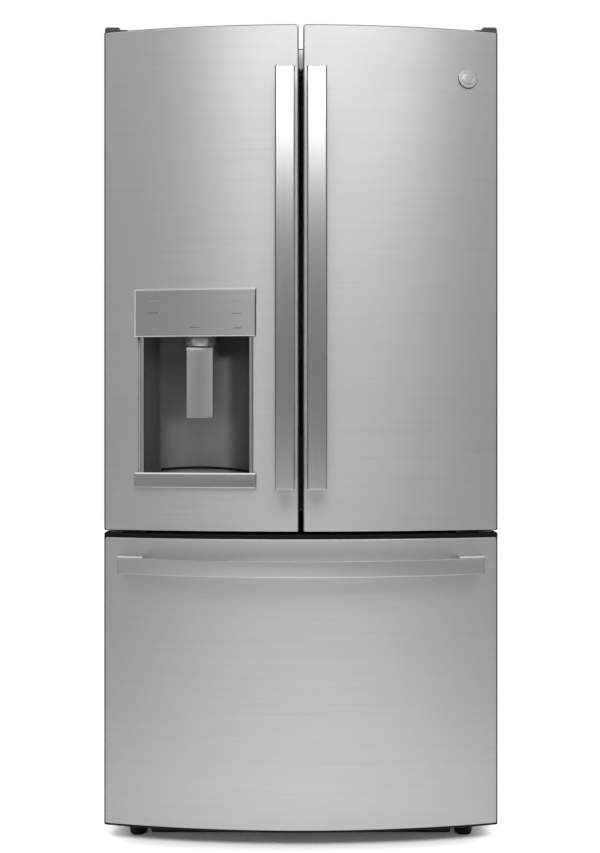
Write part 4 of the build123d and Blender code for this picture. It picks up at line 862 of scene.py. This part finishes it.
# side view of the plate, as y and z: its low end rolls back, its top leans back
line = [(y + 0.0016, q["low"]), (y + 0.0004, q["low"] + 0.0012), (y, q["low"] + 0.004),
        (y, q["high"] - 0.01), (y + 0.002, q["high"])]
startLine("paddlePlate", [(x, py, z) for py, z in line])
axis = (x, y + q["sag"] - radius, 0)
everything()
bpy.ops.transform.translate(value=(0, q["sag"], 0))
turn(-math.degrees(swing), axis)
spinOn(2 * math.degrees(swing), axis, (0, 0, 1), 20)
cleanNormals()
facing((0, -1, 0), (x, y + q["sag"], 0.98))
for side in (-1, 1):
    pick("EDGE", lambda e: e.is_boundary and (middle(e).x - x) * side > q["half"] - 0.001)
    pull((side * q["rollStart"][0], q["rollStart"][1], 0))
    pull((0, q["roll"], 0))
unwrap()
plate = stopEditing()
thicken(plate, q["wall"])
softenEdges(plate, q["ease"], 2, 40)
finishPiece(plate, "dispenser_paddle", paddleMetal, ["dispenser_paddle"])
axle = addRod("paddleHanger", (x, y + q["axleBack"], q["high"] - q["axleDrop"]), q["axleRadius"],
              2 * q["half"] - 2 * q["axleEnd"], "X", 24)
arm = addBox("paddleArm", (x - q["armHalf"], y + q["armFront"], q["high"] - q["armDrop"][0]),
             (x + q["armHalf"], y + q["armBack"], q["high"] - q["armDrop"][1]))
softenEdges(arm, q["armEase"])
finishPiece(joinPieces([axle, arm], "paddleHanger"), "dispenser_paddle", blackPlastic)

# collar over the paddle: a spun ring with a light lip, dark ears behind it; ring: radius and height
ring = [(0.0200, 1.0940), (0.0322, 1.0940), (0.0326, 1.0735), (0.0320, 1.0712), (0.0300, 1.0700), (0.0296, 1.0668),
        (0.0286, 1.0655), (0.0200, 1.0655)]
ear = {"apart": 0.020, "half": 0.0016, "back": 0.004, "low": 1.0480, "high": 1.0940, "ease": 0.0008}
low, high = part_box("dispenser_chute")
x, y = (low.x + high.x) / 2, (low.y + high.y) / 2
startLine("chuteCollar", [(x + radius, y, z) for radius, z in ring], closed=True)
spinOn(360, (x, y, 0), (0, 0, 1), 64)
cleanNormals()
collar = stopEditing()
finishPiece(collar, "left_door", paddleMetal, ["dispenser_chute"])
ears = []
for side in (-1, 1):
    box = addBox("chuteEar", (x + side * ear["apart"] - ear["half"], y + ear["back"], ear["low"]),
                 (x + side * ear["apart"] + ear["half"], high.y, ear["high"]))
    softenEdges(box, ear["ease"])
    ears.append(box)
finishPiece(joinPieces(ears, "chuteEars"), "left_door", blackPlastic)
print("dispenser made")


# pieces carried over from the frame, with their edges eased where a width is given
def bodyOf(node):
    return frame["nodes"][node]["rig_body"]


def easedCopy(node, material, ease):
    source = frame["nodes"][node]
    parts = node.split("_")
    name = parts[0] + "".join(part.capitalize() for part in parts[1:])
    piece = bpy.data.objects.new(name, source.data.copy())
    bpy.context.scene.collection.objects.link(piece)
    startEditing(piece)
    everything()
    bpy.ops.mesh.customdata_custom_splitnormals_clear()
    bpy.ops.mesh.remove_doubles(threshold=0.00001)
    bpy.ops.mesh.dissolve_limited(angle_limit=math.radians(0.4))
    stopEditing()
    if ease:
        softenEdges(piece, ease)
    finishPiece(piece, bodyOf(node), material, [node])


# material and slot, then each node with the width of its eased edges
eased = [
    (casePaint, "painted_steel", {"outer_case": 0}),
    (sheetZinc, "galvanised_steel", {"rear_panel": 0}),
    (zincPlate, "zinc_steel", {"top_hinges": 0.0006, "middle_hinges": 0.0006}),
    (blackPlastic, "black_plastic", {"toe_grille": 0.0006, "leveling_leg_left": 0.0008,
                                     "leveling_leg_right": 0.0008, "cord_gland": 0.0006}),
    (darkPlastic, "dark_plastic", {"left_door_caps": 0.0008, "right_door_caps": 0.0008, "drawer_caps": 0.0008,
                                   "mullion_guide": 0.0005}),
    (rimBlack, "dark_plastic", {"mullion": 0.0008}),
    (sealRubber, "gasket", {"left_door_gasket": 0, "right_door_gasket": 0, "drawer_gasket": 0}),
    (recessMetal, "recess_grey", {"drip_tray": 0.0008}),
    (whiteLiner, "white_liner", {"ice_box": 0.0016, "crisper_rack": 0.0008}),
    (clearPlastic, "clear_plastic", {"crisper_drawers": 0.0006, "deli_drawer": 0.0006, "left_door_bins": 0.0006,
                                     "right_door_bins": 0.0006}),
    (shelfGlass, "glass", {"glass_shelves": 0.0008}),
    (lampLens, "light_lens", {"ceiling_light": 0.0008}),
]
for material, slotName, nodes in eased:
    for node, ease in nodes.items():
        easedCopy(node, material, ease)
print("frame pieces eased")

# hinge covers: a moulded lid over each upper hinge
lid = {
    "outer": 0.4156, "crestOuter": 0.4122, "crest": 1.7420, "shoulder": 1.7384, "crestInner": 0.3868,
    "flangeX": 0.3812, "flangeZ": 1.7366, "inner": 0.3672, "overDoor": 1.7302, "caseTop": 1.7212, "wall": 0.0022,
    "ease": 0.0009,
}
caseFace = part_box("outer_case")[0].y
low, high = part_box("hinge_covers")
lids = []
for side in (-1, 1):
    outline = [(lid["outer"], lid["overDoor"]), (lid["outer"], lid["shoulder"]), (lid["crestOuter"], lid["crest"]),
               (lid["crestInner"], lid["crest"]), (lid["flangeX"], lid["flangeZ"]), (lid["inner"], lid["flangeZ"]),
               (lid["inner"], lid["overDoor"])]
    startLine("hingeCover", [(side * x, low.y, z) for x, z in outline], closed=True)
    bpy.ops.mesh.edge_face_add()
    pull((0, high.y - low.y, 0))
    cleanNormals()
    everything()
    bpy.ops.mesh.bisect(plane_co=(0, caseFace - 0.0004, 0), plane_no=(0, 1, 0))
    # the underside steps down behind the case's front
    pick("FACE", lambda f: f.normal.z < -0.9 and f.calc_center_median().y > caseFace - 0.001)
    pull((0, 0, lid["caseTop"] - lid["overDoor"]))
    cleanNormals()
    pick("FACE", lambda f: f.normal.z < -0.9)
    bpy.ops.mesh.delete(type="FACE")
    cover = stopEditing()
    thicken(cover, lid["wall"])
    softenEdges(cover, lid["ease"], 2, 25)
    lids.append(cover)
finishPiece(joinPieces(lids, "hingeCovers"), bodyOf("hinge_covers"), darkPlastic, ["hinge_covers"])

# feet: a flared rubber shoe round each leg's pad; profile: radius and height
shoeProfile = [(0, 0.0002), (0.0165, 0.0002), (0.0186, 0.0022), (0.0216, 0.0170), (0.0222, 0.0205),
               (0.0216, 0.0230), (0.0120, 0.0245), (0, 0.0245)]
for node in ("leveling_leg_left", "leveling_leg_right"):
    low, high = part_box(node)
    x, y = (low.x + high.x) / 2, (low.y + high.y) / 2
    startLine("footShoe", [(x + radius, y, z) for radius, z in shoeProfile])
    spinOn(360, (x, y, 0), (0, 0, 1), 48)
    cleanNormals()
    shoe = stopEditing()
    finishPiece(shoe, bodyOf(node), rimBlack, angle=50)

# thin trims on the case's front: a black strip across the divider that stands for the shade in the doors' gap (painted
# shade), and a pale plate behind the top of the gap whose near-white colour stands for light caught there (painted
# highlight)
trimThick, trimRound = 0.0004, 0.003
for name, x0, x1, z0, z1, material, slotName in (
    # black strip standing for the shade in the gap between the doors: painted shade
    ("dividerPaintedShade", -0.3780, 0.3780, 0.6532, 0.7115, rimBlack, "dark_plastic"),
    # a real guide plate, its near-white colour a painted highlight for the light caught at the top of the gap
    ("guidePlatePaintedHighlight", -0.0300, 0.0440, 1.6765, 1.7183, lampLens, "light_lens"),
):
    startEditing(addBox(name, (x0, caseFace - trimThick, z0), (x1, caseFace, z1)))
    pick("EDGE", lambda e: along(e, 1))
    bpy.ops.mesh.bevel(offset=trimRound, segments=3, affect="EDGES")
    finishPiece(stopEditing(), "cabinet", material)
print("covers, feet and trims made")

slotMaterials = {
    "galvanised_steel": sheetZinc, "foam": foamFill, "white_liner": whiteLiner, "gasket": sealRubber,
    "dark_plastic": darkPlastic, "black_plastic": blackPlastic, "clear_plastic": clearPlastic,
    "glass": shelfGlass, "zinc_steel": zincPlate, "black_enamel": blackEnamel, "aluminium": coilMetal,
    "satin_grey": trimMetal, "recess_grey": recessMetal, "fascia_steel": fasciaSteel,
    "roller_plastic": nylonWheel, "light_lens": lampLens, "painted_steel": casePaint,
    "stainless": stainless, "handle_steel": handleSteel,
}
for part in frame["record"]["subparts"]:
    cadPiece = frame["nodes"][part["node"]]
    for i in range(len(cadPiece.material_slots)):
        cadPiece.material_slots[i].material = slotMaterials[part["material_slot"]]
print("frame pieces dressed")

# badge: a plain domed disc with a raised rim, on a dark seat; steps: each ring's inset and its rise
badge = {
    "x": 0.3502, "z": 1.6255, "radius": 0.0198, "thick": 0.0034, "seatMore": 0.0010, "seatThick": 0.0010,
    "steps": ((0.0014, 0), (0.0006, -0.0010), (0.0052, 0.0001), (0.0008, -0.0007), (0.0007, 0.0011), (0.006, 0.0005)),
}
centre = Vector((badge["x"], bowY(badge["x"]) - badge["thick"] / 2 + 0.0004, badge["z"]))
disc = addRod("doorBadge", centre, badge["radius"], badge["thick"], "Y", 64)
startEditing(disc)
pick("FACE", lambda f: f.normal.y < -0.9)
for thickness, depth in badge["steps"]:
    bpy.ops.mesh.inset(thickness=thickness, depth=depth)
pick("EDGE", lambda e: len([f for f in e.link_faces if abs(f.normal.y) < 0.2]) == 1 and middle(e).y < centre.y)
bpy.ops.mesh.bevel(offset=0.0005, segments=2, affect="EDGES")
everything()
turn(bowAngle(badge["x"]), centre)
disc = stopEditing()
finishPiece(disc, "right_door", badgeMetal)
seat = addRod("badgeSeat", (badge["x"], bowY(badge["x"]) - skinSet, badge["z"]),
              badge["radius"] + badge["seatMore"], badge["seatThick"], "Y", 64)
startEditing(seat)
everything()
turn(bowAngle(badge["x"]), (badge["x"], bowY(badge["x"]), badge["z"]))
stopEditing()
softenEdges(seat, 0.0002)
finishPiece(seat, "right_door", rimBlack)

# studio
floorSize = 14
bpy.ops.mesh.primitive_plane_add(size=floorSize, location=(0, 0, 0))
studioFloor = bpy.context.object
studioFloor.name = "studioFloor"
startEditing(studioFloor)
everything()
bpy.ops.mesh.subdivide(number_cuts=3)
stopEditing()


def backdropRays(tree, behind):
    # camera rays everywhere, and glossy and transmission rays on the object's side of the studio
    rays = tree.nodes.new("ShaderNodeLightPath")
    seen = maths(tree, "MAXIMUM", rays.outputs["Is Glossy Ray"], rays.outputs["Is Transmission Ray"])
    return maths(tree, "MAXIMUM", rays.outputs["Is Camera Ray"], maths(tree, "MULTIPLY", seen, behind))


sideStart, sideEnd = -0.42, -0.28  # the floor passes to the object's side between these
floorPaint, tree, shader, place = startMaterial("studioFloorPaint")
skin = placeGroup(tree, pebbleGroup, {"Vector": place, "Pebble Scale": 60.0, "Cloud Scale": 1.5})
parts = addNode(tree, "ShaderNodeSeparateXYZ", {0: place})
shown = backdropRays(tree, spread(tree, parts.outputs["Y"], sideStart, sideEnd, 0, 1))
colour = blendColours(tree, skin.outputs["Cloud"], grey(0.96), grey(1.0))


def lightPool(centre, reach, level, squeeze):
    # a soft pool of light on the floor, as metal sees it, drawn out sideways by a small squeeze
    drawn = addNode(tree, "ShaderNodeVectorMath", {0: place, 1: (squeeze, 1, 1)}, operation="MULTIPLY").outputs[0]
    away = addNode(tree, "ShaderNodeVectorMath", {0: drawn, 1: centre}, operation="DISTANCE").outputs["Value"]
    return spread(tree, away, 0, reach, level, 0)


# centre, reach, level and squeeze of each pool, then the even level under them all
floorPools = (((0.12, -1.45, 0), 1.2, 0.74, 1), ((-1.0, -3.6, 0), 2.6, 0.42, 1), ((0, -0.64, 0), 0.42, 0.85, 0.18))
pools = [lightPool(*pool) for pool in floorPools]
poolLevel = pools[0]
for level in pools[1:] + [0.30]:
    poolLevel = maths(tree, "ADD", poolLevel, level)
dull = addNode(tree, "ShaderNodeVectorMath", {0: colour, "Scale": poolLevel}, operation="SCALE").outputs[0]
floorLift = 1.8  # keeps the floor white under the plain lamps
bright = addNode(tree, "ShaderNodeVectorMath", {0: colour, "Scale": floorLift}, operation="SCALE").outputs[0]
away = addNode(tree, "ShaderNodeVectorMath", {0: place, 1: (0, 0, 0)}, operation="DISTANCE").outputs["Value"]
far = spread(tree, away, 0.6, 1.1, 0, 1)  # past the object's shadow the floor is even white
nearPaint = blendColours(tree, far, bright, grey(0))
tree.links.new(blendColours(tree, shown, dull, nearPaint), shader.inputs["Base Color"])
shader.inputs["Roughness"].default_value = 0.8
shader.inputs["Specular IOR Level"].default_value = 0.1
glow = blendColours(tree, far, grey(0.02), grey(1.02))
tree.links.new(blendColours(tree, shown, grey(0), glow), shader.inputs["Emission Color"])
shader.inputs["Emission Strength"].default_value = 1.0
studioFloor.data.materials.append(floorPaint)

world = bpy.data.worlds.new("studioWorld")
bpy.context.scene.world = world
world.use_nodes = True
tree = world.node_tree
background = tree.nodes["Background"]
direction = tree.nodes.new("ShaderNodeTexCoord").outputs["Generated"]
parts = addNode(tree, "ShaderNodeSeparateXYZ", {0: direction})
# what metal and glass see: a dim studio in front of the doors, pale behind them
studioWalls = ((0.0, 0.15), (0.016, 0.30), (0.07, 0.42), (0.20, 0.56), (0.24, 0.9), (0.28, 0.9), (0.33, 0.03),
               (0.62, 0.03), (0.72, 0.95))
ramp = addNode(tree, "ShaderNodeValToRGB", {"Fac": spread(tree, parts.outputs["Y"], -1, 1, 0, 1)})
for i, (position, level) in enumerate(studioWalls):
    stops = ramp.color_ramp.elements
    stop = stops[i] if i < 2 else stops.new(position)
    stop.position, stop.color = position, grey(level)
upward = spread(tree, parts.outputs["Z"], 0.45, 1.0, 0, 1)
walls = blendColours(tree, upward, ramp.outputs[0], grey(1.2))
shown = backdropRays(tree, spread(tree, parts.outputs["Y"], 0.25, 0.4, 0, 1))
mirrored = blendColours(tree, shown, walls, grey(1))
# what lights matt surfaces: a plain even room, brighter overhead
overhead = maths(tree, "MULTIPLY", parts.outputs["Z"], parts.outputs["Z"])
room = addNode(tree, "ShaderNodeCombineColor", {i: spread(tree, overhead, 0, 1, 0.25, 0.8) for i in range(3)})
lights = tree.nodes.new("ShaderNodeLightPath")
seenBy = blendColours(tree, lights.outputs["Is Diffuse Ray"], mirrored, room.outputs[0])
tree.links.new(seenBy, background.inputs["Color"])
background.inputs["Strength"].default_value = 1.0


def softBox(name, place, target, width, height, power):
    # an area lamp turned to a target, never seen by the camera itself
    light = bpy.data.lights.new(name, "AREA")
    light.shape = "RECTANGLE"
    light.size, light.size_y, light.energy = width, height, power
    lamp = bpy.data.objects.new(name, light)
    bpy.context.scene.collection.objects.link(lamp)
    lamp.location = place
    lamp.rotation_euler = (Vector(target) - Vector(place)).to_track_quat("-Z", "Y").to_euler()
    lamp.visible_camera = False
    return lamp


lowBox = softBox("lowFrontBox", (0, -3.8, 2.62), (0, -0.3, 0.1), 1.2, 0.5, 105)
lowBox.visible_glossy = False  # lights the floor and matt surfaces only
softBox("frontTopBox", (0.2, -2.9, 3.1), (0.05, -0.4, 1.3), 2.3, 1.4, 27)

camera = bpy.data.cameras.new("studioCamera")
camera.sensor_width = 36
camera.lens = 40.26
viewer = bpy.data.objects.new("studioCamera", camera)
bpy.context.scene.collection.objects.link(viewer)
viewer.location = (-0.0019, -2.371, 0.896)
viewer.rotation_euler = (math.pi / 2, 0, 0)
bpy.context.scene.camera = viewer
bpy.context.scene.view_settings.view_transform = "Standard"
print("studio set")
